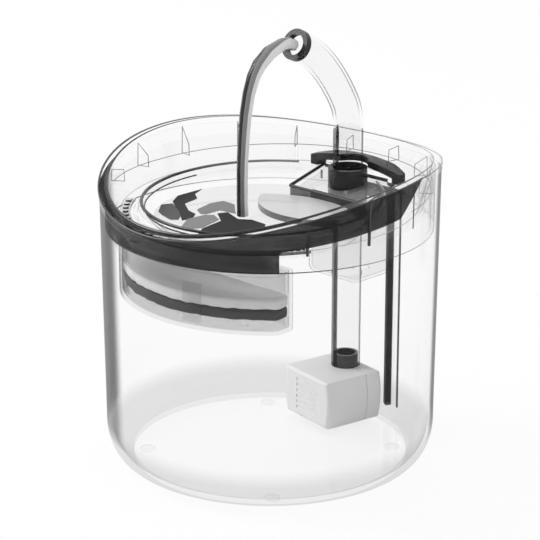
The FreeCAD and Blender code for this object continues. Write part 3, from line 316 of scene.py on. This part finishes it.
tray_plastic = new_material("Clear moulded tray plastic")
tray_edge_shade = add_node(tray_plastic, "ShaderNodeMix",
                     {"data_type": "RGBA", 6: linear("#FEFEFE"), 7: linear("#DADADA")},
                     {0: grazing(tray_plastic, *TRAY_GRAZING)})
clear_finish(tray_plastic, tray_edge_shade, TRAY_GLOSS)
dress(tray_plastic, "tray_frame")


def rim_height(y):
    """The rim's height at y: an arc about a level axis, highest a little behind the middle."""
    return RIM_AXIS + math.sqrt(RIM_ARC ** 2 - (y - RIM_PEAK_Y) ** 2)


def edge_line(name, body, points, thickness, material, closed=False):
    """A thin round bead along points; thickness is one radius or a list of one for each point."""
    curve = bpy.data.curves.new(name, "CURVE")
    curve.dimensions = "3D"
    curve.bevel_depth = 1.0
    curve.bevel_resolution = 2
    curve.use_fill_caps = True
    spline = curve.splines.new("POLY")
    spline.points.add(len(points) - 1)
    for index, (knot, point) in enumerate(zip(spline.points, points)):
        knot.co = (*point, 1.0)
        knot.radius = thickness[index] if isinstance(thickness, list) else thickness
    spline.use_cyclic_u = closed
    curve.materials.append(material)
    line = bpy.data.objects.new(name, curve)
    bpy.context.scene.collection.objects.link(line)
    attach(line, body)


def circle(radius, height_at, centre_y=0.0, begin=0, end=360, step=3):
    """Points of a circle or arc, each at the height that height_at gives for its y."""
    points = []
    for degrees in range(begin, end, step):
        x = radius * math.cos(math.radians(degrees))
        y = centre_y + radius * math.sin(math.radians(degrees))
        points.append((x, y, height_at(y)))
    return points


def widths(points, thin, thick, direction):
    """A radius for each point, thickest on the side of the tank that a direction points to."""
    result = []
    for x, y, z in points:
        toward = 0.5 + 0.5 * Vector((x, y, 0)).normalized().dot(Vector(direction))
        result.append(thin + (thick - thin) * toward ** 2)
    return result


# Painted shade for the edge beads: grey at the back, turning black towards FRONTWARD.
dark_edge = new_material("Painted dark edge shade")
spot = add_node(dark_edge, "ShaderNodeNewGeometry", {}, {}, "Position")
nearer = add_node(dark_edge, "ShaderNodeVectorMath", {"operation": "DOT_PRODUCT", 1: FRONTWARD},
                  {0: spot}, "Value")
near = add_node(dark_edge, "ShaderNodeMapRange", blend_step(*GREY_TO_BLACK), {"Value": nearer})
edge_shade_paint = add_node(dark_edge, "ShaderNodeMix",
                      {"data_type": "RGBA", 6: linear("#8E8E8E"), 7: linear("#0B0B0B")}, {0: near})
edge_body = add_node(dark_edge, "ShaderNodeBsdfPrincipled", {"Roughness": 0.25, "IOR": CLEAR_IOR},
                     {"Base Color": edge_shade_paint})
add_node(dark_edge, "ShaderNodeOutputMaterial", {}, {"Surface": edge_body})
# Painted shade for the grey edge beads, the same grey all round.
grey_edge = solid_finish("Painted grey edge shade", "#9A9A9A", 0.25, 2.0, 0.000001)

lip_outer = circle(LIP_OUTER_RADIUS, lambda y: rim_height(y) - LIP_OUTER_DROP)
edge_line("lip_outer_edge", "tray", lip_outer, widths(lip_outer, *LIP_OUTER_BEAD), dark_edge, True)
lip_inner = circle(LIP_INNER_RADIUS, lambda y: rim_height(y) - LIP_INNER_DROP)
edge_line("lip_inner_edge", "tray", lip_inner, widths(lip_inner, *LIP_INNER_BEAD), dark_edge, True)
skirt_low = circle(SKIRT_RADIUS, lambda y: SKIRT_BOTTOM)
edge_line("skirt_bottom_edge", "tray", skirt_low, widths(skirt_low, *SKIRT_BEAD), dark_edge, True)
ledge_rim = circle(LEDGE_RADIUS, lambda y: LEDGE + LEDGE_SLOPE * y + THIN_BEAD)
edge_line("ledge_edge", "tray", ledge_rim, LEDGE_BEAD, grey_edge, True)

# Shade band: two thin strips of painted shade, grey in patches, one inside the skirt's wall and one on the
# lip.
# They stand for the dark that the thick clear moulding gathers at its front. The band's lower edge
# steps up to the ledge right of the front, and its right end runs out in a point.
BAND_SHADE_LIGHT = "#ABABAB"
BAND_SHADE_DARK = "#7C7C7C"
PATCHES_PER_METRE = (60, 60, 170)
LIGHT_PATCHES = (-0.03, 0.045, 0.8, 0.25)
BAND_LEFT = -131
BAND_STEP = -42
BAND_RIGHT = 17
BAND_OUTER = 0.08455
BAND_INNER = 0.08445
BAND_TAPER = 3
BAND_TOP_GAP = 0.002
BAND_BOTTOM = 0.1258
BAND_ABOVE_LEDGE = 0.0008
BAND_RISE = 0.00018
BAND_POINT = 0.98
LIP_STRIP_TAPER = 20
LIP_STRIP_RIGHT = -35
LIP_STRIP_MIDDLE = 0.0855
LIP_STRIP_OUTER = 0.0872
LIP_STRIP_INNER = 0.0835
LIP_STRIP_NARROWS = 0.0036
LIP_STRIP_THICKNESS = 0.0001
# The strips' grey is painted shade, lighter in patches.
band_shade_paint = new_material("Painted shade band")
spot = add_node(band_shade_paint, "ShaderNodeNewGeometry", {}, {}, "Position")
squeezed = add_node(band_shade_paint, "ShaderNodeVectorMath",
                    {"operation": "MULTIPLY", 1: PATCHES_PER_METRE}, {0: spot})
patch = add_node(band_shade_paint, "ShaderNodeTexVoronoi", {"Scale": 1.0}, {"Vector": squeezed}, "Color")
patch = add_node(band_shade_paint, "ShaderNodeSeparateXYZ", {}, {0: patch}, "X")
frontward = add_node(band_shade_paint, "ShaderNodeSeparateXYZ", {}, {0: spot}, "X")
lighter = add_node(band_shade_paint, "ShaderNodeMapRange", blend_step(*LIGHT_PATCHES),
                   {"Value": frontward})
patches = add_node(band_shade_paint, "ShaderNodeMath", {"operation": "MULTIPLY"}, {0: patch, 1: lighter})
band_shade_tint = add_node(band_shade_paint, "ShaderNodeMix",
                     {"data_type": "RGBA", 6: linear(BAND_SHADE_DARK), 7: linear(BAND_SHADE_LIGHT)}, {0: patches})
clear_finish(band_shade_paint, band_shade_tint)
band_points = []
for degrees in range(BAND_LEFT, BAND_RIGHT + 1):
    turn = math.radians(degrees)
    y = BAND_OUTER * math.sin(turn)
    high = rim_height(y) - BAND_TOP_GAP
    low = BAND_BOTTOM
    if degrees >= BAND_STEP:
        low = LEDGE + BAND_ABOVE_LEDGE + BAND_RISE * (degrees - BAND_STEP)
    if degrees > BAND_TAPER:
        low += (high - low) * (degrees - BAND_TAPER) / (BAND_RIGHT - BAND_TAPER) * BAND_POINT
    band_points.append((turn, low, high))
    if degrees == BAND_STEP - 1:
        band_points.append((turn, LEDGE, high))


def ring_points(turn, places):
    """The points at an angle about the tank's axis, from pairs of a radius and a height."""
    return [(reach * math.cos(turn), reach * math.sin(turn), z) for reach, z in places]


def shade_strip(name, stations):
    """A thin strip with four corners at each station."""
    corners = [corner for station in stations for corner in station]
    walls = [(3, 2, 1, 0), tuple(len(corners) - 4 + k for k in range(4))]
    for station in range(len(stations) - 1):
        for k in range(4):
            a, b = 4 * station + k, 4 * station + (k + 1) % 4
            walls.append((a, b, b + 4, a + 4))
    mesh = bpy.data.meshes.new(name)
    mesh.from_pydata(corners, [], walls)
    mesh.materials.append(band_shade_paint)
    strip = bpy.data.objects.new(name, mesh)
    bpy.context.scene.collection.objects.link(strip)
    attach(strip, "tray")


shade_strip("shade_band", [
    ring_points(turn, ((BAND_OUTER, low), (BAND_OUTER, high), (BAND_INNER, high), (BAND_INNER, low)))
    for turn, low, high in band_points])
lip_stations = []
for degrees in range(BAND_LEFT - LIP_STRIP_TAPER, LIP_STRIP_RIGHT):
    turn = math.radians(degrees)
    edge = min(1.0, (degrees - BAND_LEFT + LIP_STRIP_TAPER + 1) / LIP_STRIP_TAPER)
    outer = LIP_STRIP_OUTER - LIP_STRIP_NARROWS * (1 - edge)
    high = rim_height(LIP_STRIP_MIDDLE * math.sin(turn)) + THIN_BEAD
    low = high - LIP_STRIP_THICKNESS
    lip_stations.append(ring_points(turn, ((outer, high), (outer, low), (LIP_STRIP_INNER, low),
                                           (LIP_STRIP_INNER, high))))
shade_strip("lip_shade", lip_stations)

# Gusset ribs: thin plates between wall and lip, moulded with the tray frame. Their edges are drawn by beads
# of painted shade: fine grey lines at the back, and upright black ones at the front right.
WALL_BEAD_HEIGHT = 0.1442
WALL_BEAD = 0.00022
WALL_SLOPE = 0.03
WALL_RADIUS = 0.0822
BACK_ARC = (12, 216)
RIBS = 16
RIB_OUTER = 0.0836
RIB_INNER = 0.0765
RIB_SHOULDER = (0.0768, 0.0062)
RIB_TOP = (0.0832, 0.0035)
RIB_BEAD = 0.00025
NEAR_RIBS = ((-33.75, 0.0007), (-11.25, 0.0008), (11.25, 0.0003))
NEAR_RIB_FOOT = 0.0838
NEAR_RIB_TOP = 0.0842
NEAR_RIB_DROP = 0.003


def wall_height(y):
    """The height at y of the bead round the inclined wall, which climbs behind the middle."""
    return WALL_BEAD_HEIGHT + WALL_SLOPE * max(y, 0.0)


# A grey bead of painted shade runs round the back of the inclined wall.
edge_line("wall_bead", "tray", circle(WALL_RADIUS, wall_height, 0, *BACK_ARC), WALL_BEAD, grey_edge)
for number in range(RIBS):
    degrees = (-90 + (number + 0.5) * 360 / RIBS) % 360
    turn = math.radians(degrees)
    rib_y = WALL_RADIUS * math.sin(turn)
    foot = wall_height(rib_y)
    profile = [(RIB_OUTER, foot), (RIB_INNER, foot), (RIB_SHOULDER[0], foot + RIB_SHOULDER[1]),
               (RIB_TOP[0], rim_height(rib_y) - RIB_TOP[1]), (RIB_OUTER, foot)]
    if BACK_ARC[0] <= degrees <= BACK_ARC[1]:
        edge_line(f"rib_edge_{number + 1}", "tray", ring_points(turn, profile), RIB_BEAD, grey_edge)
for number, (degrees, breadth) in enumerate(NEAR_RIBS):
    turn = math.radians(degrees)
    rib_y = NEAR_RIB_FOOT * math.sin(turn)
    foot, top = ring_points(turn, ((NEAR_RIB_FOOT, LEDGE + LEDGE_SLOPE * rib_y),
                                   (NEAR_RIB_TOP, rim_height(rib_y) - NEAR_RIB_DROP)))
    edge_line(f"near_rib_edge_{number + 1}", "tray", [foot, (top[0], rib_y, top[2])], breadth, dark_edge)

# Drop-in bowl: clear polished plastic with a rolled rim. The thick rolled rim bends the light
# most, so it shows as a dark ring, drawn by beads of painted shade; the dish itself is almost
# invisible, a little grey where seen edge-on, painted shade too.
BOWL_Y = -0.0053
RING_ABOVE_LEDGE = 0.0033
RING_HEIGHT = LEDGE + RING_ABOVE_LEDGE + LEDGE_SLOPE * BOWL_Y
RING_RADIUS = 0.062
RING_ARC = (116, 425)
RING_CROWN = 0.0022
INNER_RING_RADIUS = 0.0605
INNER_RING_ARC = (170, 290)
INNER_RING_DROP = 0.0008
INNER_RING_BEAD = 0.0004
RING_BEAD = (0.0006, 0.0009, (-0.6, -0.8, 0))
BOWL_GRAZING = (0.75, 0.97)
bowl_plastic = new_material("Clear polished bowl plastic")
bowl_edge_shade = add_node(bowl_plastic, "ShaderNodeMix",
                     {"data_type": "RGBA", 6: linear("#FEFEFE"), 7: linear("#C4C4C4")},
                     {0: grazing(bowl_plastic, *BOWL_GRAZING)})
clear_finish(bowl_plastic, bowl_edge_shade)
dress(bowl_plastic, "bowl")
ring = circle(RING_RADIUS, lambda y: RING_HEIGHT + LEDGE_SLOPE * (y - BOWL_Y) + RING_CROWN, BOWL_Y, *RING_ARC)
edge_line("bowl_ring_edge", "tray", ring, widths(ring, *RING_BEAD), dark_edge)
near_ring = circle(INNER_RING_RADIUS, lambda y: RING_HEIGHT + LEDGE_SLOPE * (y - BOWL_Y) - INNER_RING_DROP,
                   BOWL_Y, *INNER_RING_ARC)
edge_line("bowl_ring_inner_edge", "tray", near_ring, INNER_RING_BEAD, dark_edge)

# Water in the bowl: a still, clear film. Five thin flat pieces on it, matt and grey, are painted reflections:
# they stand for the dark of the room in its ripples; they are pieces, so they stay where they are from every
# side.
WATER_HEIGHT = 0.1318
WATER_RADIUS = 0.0558
WATER_BACK = 0.0425
WATER_GLOSS = 0.5
PATCH_RISE = 0.0003
PATCH_STEP = 0.0001
REFLECTIONS = (
    ("#4A4A4A", [(-0.0490, -0.0223), (-0.0547, -0.0131), (-0.0546, 0.0045), (-0.0507, -0.0045),
                 (-0.0436, -0.0097), (-0.0414, -0.0209), (-0.0309, -0.0282), (-0.0239, -0.0300),
                 (-0.0193, -0.0369), (-0.0209, -0.0426), (-0.0313, -0.0343), (-0.0420, -0.0274)]),
    ("#686868", [(-0.0406, -0.0405), (-0.0487, -0.0309), (-0.0459, -0.0253), (-0.0347, -0.0319),
                 (-0.0264, -0.0382), (-0.0228, -0.0432), (-0.0258, -0.0460), (-0.0346, -0.0433)]),
    ("#8A8A8A", [(-0.0286, -0.0246), (-0.0318, -0.0116), (-0.0300, -0.0040), (-0.0213, -0.0044),
                 (-0.0091, -0.0158), (-0.0194, -0.0171), (-0.0193, -0.0271), (-0.0222, -0.0284)]),
    ("#444444", [(0.0062, -0.0595), (-0.0027, -0.0458), (-0.0052, -0.0303), (-0.0158, -0.0223),
                 (-0.0135, -0.0172), (-0.0011, -0.0221), (0.0046, -0.0180), (0.0152, -0.0189),
                 (0.0182, -0.0228), (0.0165, -0.0326), (0.0092, -0.0478)]),
    ("#8F8F8F", [(-0.0119, -0.0520), (-0.0195, -0.0399), (-0.0183, -0.0289), (-0.0149, -0.0257),
                 (-0.0073, -0.0295), (-0.0034, -0.0451), (-0.0072, -0.0542)]),
)
water = new_material("Still water")
clear_finish(water, "#FAFAFA", WATER_GLOSS)


def flat_piece(name, body, outline, height, material, thickness=0.0002):
    """A thin flat piece with a closed outline of (x, y) points."""
    mesh = bpy.data.meshes.new(name)
    count = len(outline)
    low = [(x, y, height - thickness) for x, y in outline]
    high = [(x, y, height) for x, y in outline]
    faces = [tuple(range(count, 2 * count)), tuple(reversed(range(count)))]
    for index in range(count):
        after = (index + 1) % count
        faces.append((index, after, count + after, count + index))
    mesh.from_pydata(low + high, [], faces)
    mesh.materials.append(material)
    piece = bpy.data.objects.new(name, mesh)
    bpy.context.scene.collection.objects.link(piece)
    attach(piece, body)


surface = [(x, min(y, WATER_BACK)) for x, y, z in circle(WATER_RADIUS, lambda y: 0, BOWL_Y, step=6)]
flat_piece("bowl_water", "tray", surface, WATER_HEIGHT, water)
# Each patch is a painted reflection, a flat grey piece on the water.
for number, (colour, outline) in enumerate(REFLECTIONS):
    mirror = new_material(f"Painted reflection in water {number + 1}")
    shade = add_node(mirror, "ShaderNodeBsdfDiffuse", {"Color": linear(colour)}, {})
    add_node(mirror, "ShaderNodeOutputMaterial", {}, {"Surface": shade})
    height = WATER_HEIGHT + PATCH_RISE + PATCH_STEP * number
    flat_piece(f"painted_reflection_{number + 1}", "tray", outline, height, mirror)

# Splash shelf: a round-fronted pad of pale satin plastic, moulded apart and laid in behind the dish.
# The side of it that is turned to SHELF_FRONT is painted nearly black: painted shade.
SHELF_FRONT = (-0.25, -0.97, 0)
SHELF_SHADE = (0.42, 0.52)
shelf_plastic = new_material("Satin clear shelf plastic")
normal = add_node(shelf_plastic, "ShaderNodeNewGeometry", {}, {}, "Normal")
turned = add_node(shelf_plastic, "ShaderNodeVectorMath", {"operation": "DOT_PRODUCT", 1: SHELF_FRONT},
                  {0: normal}, "Value")
shade = add_node(shelf_plastic, "ShaderNodeMapRange", blend_step(*SHELF_SHADE), {"Value": turned})
shelf_colour_and_shade = add_node(shelf_plastic, "ShaderNodeMix",
                       {"data_type": "RGBA", 6: linear("#F6F6F6"), 7: linear("#101010")}, {0: shade})
shelf_body = add_node(shelf_plastic, "ShaderNodeBsdfPrincipled", {"Roughness": 0.2, "Alpha": 0.85},
                      {"Base Color": shelf_colour_and_shade})
add_node(shelf_plastic, "ShaderNodeOutputMaterial", {}, {"Surface": shelf_body})
dress(shelf_plastic, "splash_shelf")

# Drain grate: a curved strip of clear plastic, clipped into the ledge. The steep sides of its
# scales are painted dark as shade and their tops bright.
SCALE_SIDES = (0.3, 0.6)
grate_plastic = new_material("Clear grate plastic")
grate_colour_and_shade = add_node(grate_plastic, "ShaderNodeMix",
                       {"data_type": "RGBA", 6: linear("#FAFAFA"), 7: linear("#161616")},
                       {0: steepness(grate_plastic, *SCALE_SIDES)})
grate_body = add_node(grate_plastic, "ShaderNodeBsdfPrincipled", {"Roughness": 0.2, "Alpha": 0.8},
                      {"Base Color": grate_colour_and_shade})
add_node(grate_plastic, "ShaderNodeOutputMaterial", {}, {"Surface": grate_body})
dress(grate_plastic, "drain_grate")

# Rear well: pocket and sloped deck in one clear moulding. The deck's top is frosted and pale. Its front edge
# is painted dark as shade, beads of painted shade line the deck's edges, and the pocket's rounded corners
# draw dark lines, painted shade where they are seen edge-on.
DECK_HALF_WIDTH = 0.0265
DECK_BACK = (0.0705, 0.1386)
DECK_FRONT = (0.0430, 0.1317)
DECK_STARTS = (0.1232, 0.1238)
TOP_COVER = 0.12
FACE_TURNED = (0.7, 0.9)
WELL_GRAZING = (0.62, 0.9)
DECK_BEAD = 0.0009
FAR_DECK_BEAD = 0.0004
well_plastic = new_material("Clear moulded well plastic")
radius, height = round_place(well_plastic)
on_deck = add_node(well_plastic, "ShaderNodeMapRange", blend_step(*DECK_STARTS), {"Value": height})
normal = add_node(well_plastic, "ShaderNodeNewGeometry", {}, {}, "Normal")
up = add_node(well_plastic, "ShaderNodeSeparateXYZ", {}, {0: normal}, "Z")
top_face = add_node(well_plastic, "ShaderNodeMapRange", blend_step(*FACE_TURNED), {"Value": up})
forward = add_node(well_plastic, "ShaderNodeVectorMath", {"operation": "DOT_PRODUCT", 1: (0, -1, 0)},
                   {0: normal}, "Value")
front_face = add_node(well_plastic, "ShaderNodeMapRange", blend_step(*FACE_TURNED), {"Value": forward})
top_cover = add_node(well_plastic, "ShaderNodeMath", {"operation": "MULTIPLY", 1: TOP_COVER}, {0: top_face})
cover = add_node(well_plastic, "ShaderNodeMath", {"operation": "MAXIMUM"}, {0: top_cover, 1: front_face})
cover = add_node(well_plastic, "ShaderNodeMath", {"operation": "MULTIPLY"}, {0: cover, 1: on_deck})
pocket_edge_shade = add_node(well_plastic, "ShaderNodeMix",
                       {"data_type": "RGBA", 6: linear("#FAFAFA"), 7: linear("#707070")},
                       {0: grazing(well_plastic, *WELL_GRAZING)})
well_see = add_node(well_plastic, "ShaderNodeBsdfTransparent", {}, {"Color": pocket_edge_shade})
deck_colour_and_shade = add_node(well_plastic, "ShaderNodeMix",
                      {"data_type": "RGBA", 6: linear("#EDEDED"), 7: linear("#3C3C3C")}, {0: front_face})
well_body = add_node(well_plastic, "ShaderNodeBsdfPrincipled", {"Roughness": 0.25},
                     {"Base Color": deck_colour_and_shade})
well_mix = add_node(well_plastic, "ShaderNodeMixShader", {}, {0: cover, 1: well_see, 2: well_body})
add_node(well_plastic, "ShaderNodeOutputMaterial", {}, {"Surface": well_mix})
dress(well_plastic, "rear_well")
deck_left = [(-DECK_HALF_WIDTH, *DECK_BACK), (-DECK_HALF_WIDTH, *DECK_FRONT)]
deck_front = [(-DECK_HALF_WIDTH, *DECK_FRONT), (DECK_HALF_WIDTH, *DECK_FRONT)]
black_edge = solid_finish("Painted black edge shade", "#0C0C0C", 0.4, 2.0, 0.000001)
edge_line("deck_left_edge", "tray", deck_left, DECK_BEAD, black_edge)
edge_line("deck_front_edge", "tray", deck_front, DECK_BEAD, black_edge)
edge_line("deck_right_edge", "tray", [(-x, y, z) for x, y, z in deck_left], FAR_DECK_BEAD, black_edge)

# Cord conduit: an extruded clear split tube that hangs from the rear well down beside the pump.
# The half of it turned to LEFT is painted grey as shade, and a fine dark line of painted shade runs down the
# other edge.
CONDUIT_X = 0.0226
CONDUIT_Y = 0.0716
CONDUIT_FADE = 0.0002
CONDUIT_LINE = (0.0032, 0.0029)
conduit_plastic = new_material("Extruded clear conduit")
spot = add_node(conduit_plastic, "ShaderNodeNewGeometry", {}, {}, "Position")
across = add_node(conduit_plastic, "ShaderNodeVectorMath", {"operation": "DOT_PRODUCT", 1: LEFT},
                  {0: spot}, "Value")
middle = CONDUIT_X * LEFT[0] + CONDUIT_Y * LEFT[1]
shade = add_node(conduit_plastic, "ShaderNodeMapRange",
                 blend_step(middle - CONDUIT_FADE, middle + CONDUIT_FADE), {"Value": across})
rim_line = add_node(conduit_plastic, "ShaderNodeMapRange",
                    blend_step(middle - CONDUIT_LINE[0], middle - CONDUIT_LINE[1], 1.0, 0.0),
                    {"Value": across})
shade = add_node(conduit_plastic, "ShaderNodeMath", {"operation": "MAXIMUM"}, {0: shade, 1: rim_line})
conduit_tint_and_shade = add_node(conduit_plastic, "ShaderNodeMix",
                        {"data_type": "RGBA", 6: linear("#FDFDFD"), 7: linear("#8A8A8A")}, {0: shade})
clear_finish(conduit_plastic, conduit_tint_and_shade)
dress(conduit_plastic, "cord_conduit")

# Socket, bridge clip and outlet ring: smoke-tinted ABS, injection moulded and polished. The clip lifts
# off the deck, and the ring sits on the spout's end. They are nearly black, with a little light through.
SMOKE_COVER = 0.7
smoke_plastic = new_material("Polished smoke ABS")
smoke_body = add_node(smoke_plastic, "ShaderNodeBsdfPrincipled",
                      {"Base Color": linear("#2C2C2C"), "Roughness": 0.2, "IOR": 1.45}, {})
smoke_clear = add_node(smoke_plastic, "ShaderNodeBsdfTransparent", {"Color": linear("#6A6A6A")}, {})
smoke_mix = add_node(smoke_plastic, "ShaderNodeMixShader", {0: SMOKE_COVER}, {1: smoke_clear, 2: smoke_body})
add_node(smoke_plastic, "ShaderNodeOutputMaterial", {}, {"Surface": smoke_mix})
dress(smoke_plastic, "spout_socket", "rear_bridge", "outlet_ring")

# Spout: the same clear acrylic tube as the riser, bent warm and joined by a short clear sleeve.
# The wall of the bend turned to BEND_SHADE is painted with one grey band of shade.
BEND_SHADE = (-0.60, -0.58, -0.55)
BEND_BAND = (0.86, 0.94)
dress(tube_acrylic, "spout_stem", "spout_coupling")
bent_acrylic = new_material("Warm-bent clear acrylic tube")
normal = add_node(bent_acrylic, "ShaderNodeNewGeometry", {}, {}, "Normal")
turned = add_node(bent_acrylic, "ShaderNodeVectorMath", {"operation": "DOT_PRODUCT", 1: BEND_SHADE},
                  {0: normal}, "Value")
band = add_node(bent_acrylic, "ShaderNodeMapRange", blend_step(*BEND_BAND), {"Value": turned})
bent_tint_and_shade = add_node(bent_acrylic, "ShaderNodeMix",
                     {"data_type": "RGBA", 6: linear("#FDFDFD"), 7: linear("#A8A8A8")}, {0: band})
clear_finish(bent_acrylic, bent_tint_and_shade)
dress(bent_acrylic, "spout_arch")

# Water stream: falls in one smooth arc from the outlet into the bowl, where it ends. It is painted dark, as
# shade, on the side turned to LEFT, and painted bright, as light, on the other, grey between. STREAM gives y,
# z and the radius along it.
STREAM = [(0.0177, 0.2160, 0.0030), (0.0130, 0.2178, 0.0032), (0.0085, 0.2178, 0.0034),
          (-0.0004, 0.2150, 0.0038), (-0.0077, 0.2099, 0.0037), (-0.0119, 0.2044, 0.0034),
          (-0.0152, 0.1963, 0.0032), (-0.0175, 0.1863, 0.0031), (-0.0188, 0.1760, 0.0030),
          (-0.0198, 0.1643, 0.0029), (-0.0202, 0.1528, 0.0028), (-0.0202, 0.1422, 0.0028),
          (-0.0199, 0.1340, 0.0029)]
DARK_HALF = (0.3, 0.42)
BRIGHT_HALF = (-0.5, -0.36)
stream_water = new_material("Falling water")
normal = add_node(stream_water, "ShaderNodeNewGeometry", {}, {}, "Normal")
shaded = add_node(stream_water, "ShaderNodeVectorMath", {"operation": "DOT_PRODUCT", 1: LEFT}, {0: normal},
                  "Value")
half = add_node(stream_water, "ShaderNodeMapRange", blend_step(*DARK_HALF), {"Value": shaded})
light_side_fade = add_node(stream_water, "ShaderNodeMapRange", blend_step(*BRIGHT_HALF), {"Value": shaded})
painted_light_to_grey = add_node(stream_water, "ShaderNodeMix",
                     {"data_type": "RGBA", 6: linear("#F6F6F6"), 7: linear("#8C8C8C")}, {0: light_side_fade})
stream_light_and_shade = add_node(stream_water, "ShaderNodeMix", {"data_type": "RGBA", 7: linear("#121212")},
                        {0: half, 6: painted_light_to_grey})
stream_body = add_node(stream_water, "ShaderNodeBsdfPrincipled",
                       {"Roughness": 0.08, "IOR": 1.33, "Alpha": 0.9}, {"Base Color": stream_light_and_shade})
add_node(stream_water, "ShaderNodeOutputMaterial", {}, {"Surface": stream_body})
edge_line("water_stream", "spout", [(0.0, y, z) for y, z, breadth in STREAM],
          [breadth for y, z, breadth in STREAM], stream_water)

# Filter basket with its raised grid, spacer, slotted lid and thumb tab: thin translucent plastic,
# injection moulded. Each wall is painted darkest, as shade, where it is seen edge-on.
BASKET_GRAZING = (0.7, 0.95)
basket_plastic = new_material("Translucent moulded basket")
basket_edge_shade = add_node(basket_plastic, "ShaderNodeMix",
                       {"data_type": "RGBA", 6: linear("#F6F6F6"), 7: linear("#7A7A7A")},
                       {0: grazing(basket_plastic, *BASKET_GRAZING)})
clear_finish(basket_plastic, basket_edge_shade)
dress(basket_plastic, "filter_basket", "basket_grid", "lid_frame", "filter_lid", "basket_tab")

# Filter layers: needled polyester floss over a pack of bonded carbon granules, cut to the basket and
# laid in loose. The floss is white and hairy, the carbon dark and coarse.
floss = solid_finish("Needled polyester floss", "#F4F4F4", 0.95, 1.0, 0.0004, 0.06)
soft_copy("filter_floss", "floss_pad", "filter", floss, voxel=0.0012, fuzz=0.0005)
carbon = solid_finish("Bonded carbon granules", "#4E4E4E", 0.85, 1.4, 0.0006, 0.3)
soft_copy("filter_carbon", "carbon_pack", "filter", carbon, voxel=0.0011, fuzz=0.0005)

# Plain white studio: a matt floor that keeps a soft shadow, one softbox from the front left and a camera.
# Where the eye, a gloss or a see-through face meets the room, it finds plain white.
FLOOR_GLOW = 0.9
FLOOR_REACH = 6
AIM = Vector((0, 0, 0.1002))
KEY_PLACE = Vector((-1.3, -0.7, 1.3))
CAMERA_PLACE = Vector((0.7258, -0.7516, 0.4444))
floor_mesh = bpy.data.meshes.new("floor")
floor_corners = [(FLOOR_REACH * x, FLOOR_REACH * y, 0) for x, y in ((-1, -1), (1, -1), (1, 1), (-1, 1))]
floor_mesh.from_pydata(floor_corners, [], [(0, 1, 2, 3)])
floor = bpy.data.objects.new("floor", floor_mesh)
bpy.context.scene.collection.objects.link(floor)
floor_paint = new_material("Matt white board")
board = add_node(floor_paint, "ShaderNodeBsdfDiffuse", {"Color": linear("#FAFAFA")}, {})
glow = add_node(floor_paint, "ShaderNodeEmission", {"Color": linear("#FFFFFF"), "Strength": 1.0}, {})
eye = add_node(floor_paint, "ShaderNodeLightPath", {}, {}, "Is Camera Ray")
share = add_node(floor_paint, "ShaderNodeMath", {"operation": "MULTIPLY", 1: FLOOR_GLOW}, {0: eye})
floor_mix = add_node(floor_paint, "ShaderNodeMixShader", {}, {0: share, 1: board, 2: glow})
add_node(floor_paint, "ShaderNodeOutputMaterial", {}, {"Surface": floor_mix})
floor_mesh.materials.append(floor_paint)
floor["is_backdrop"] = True

world = bpy.data.worlds.new("Studio")
bpy.context.scene.world = world
world.use_nodes = True
world.node_tree.nodes.clear()
seen = add_node(world, "ShaderNodeBackground", {"Color": linear("#FFFFFF"), "Strength": 1.0}, {})
fill = add_node(world, "ShaderNodeBackground", {"Color": linear("#FFFFFF"), "Strength": 0.7}, {})
shown = add_node(world, "ShaderNodeLightPath", {}, {}, "Is Camera Ray")
for ray in ("Is Glossy Ray", "Is Transmission Ray"):
    other = add_node(world, "ShaderNodeLightPath", {}, {}, ray)
    shown = add_node(world, "ShaderNodeMath", {"operation": "MAXIMUM"}, {0: shown, 1: other})
sky = add_node(world, "ShaderNodeMixShader", {}, {0: shown, 1: fill, 2: seen})
add_node(world, "ShaderNodeOutputWorld", {}, {"Surface": sky})

key_data = bpy.data.lights.new("key_softbox", "AREA")
key_data.energy = 24
key_data.size = 1.0
key = bpy.data.objects.new("key_softbox", key_data)
key.location = KEY_PLACE
key.rotation_euler = (AIM - KEY_PLACE).to_track_quat("-Z", "Y").to_euler()
bpy.context.scene.collection.objects.link(key)

camera_data = bpy.data.cameras.new("camera")
camera_data.lens = 141.47
camera_data.sensor_width = 36
camera = bpy.data.objects.new("camera", camera_data)
camera.location = CAMERA_PLACE
camera.rotation_euler = (AIM - CAMERA_PLACE).to_track_quat("-Z", "Y").to_euler()
bpy.context.scene.collection.objects.link(camera)
bpy.context.scene.camera = camera
bpy.context.scene.view_settings.view_transform = "Standard"
bpy.context.scene.cycles.transparent_max_bounces = 64

low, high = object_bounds()
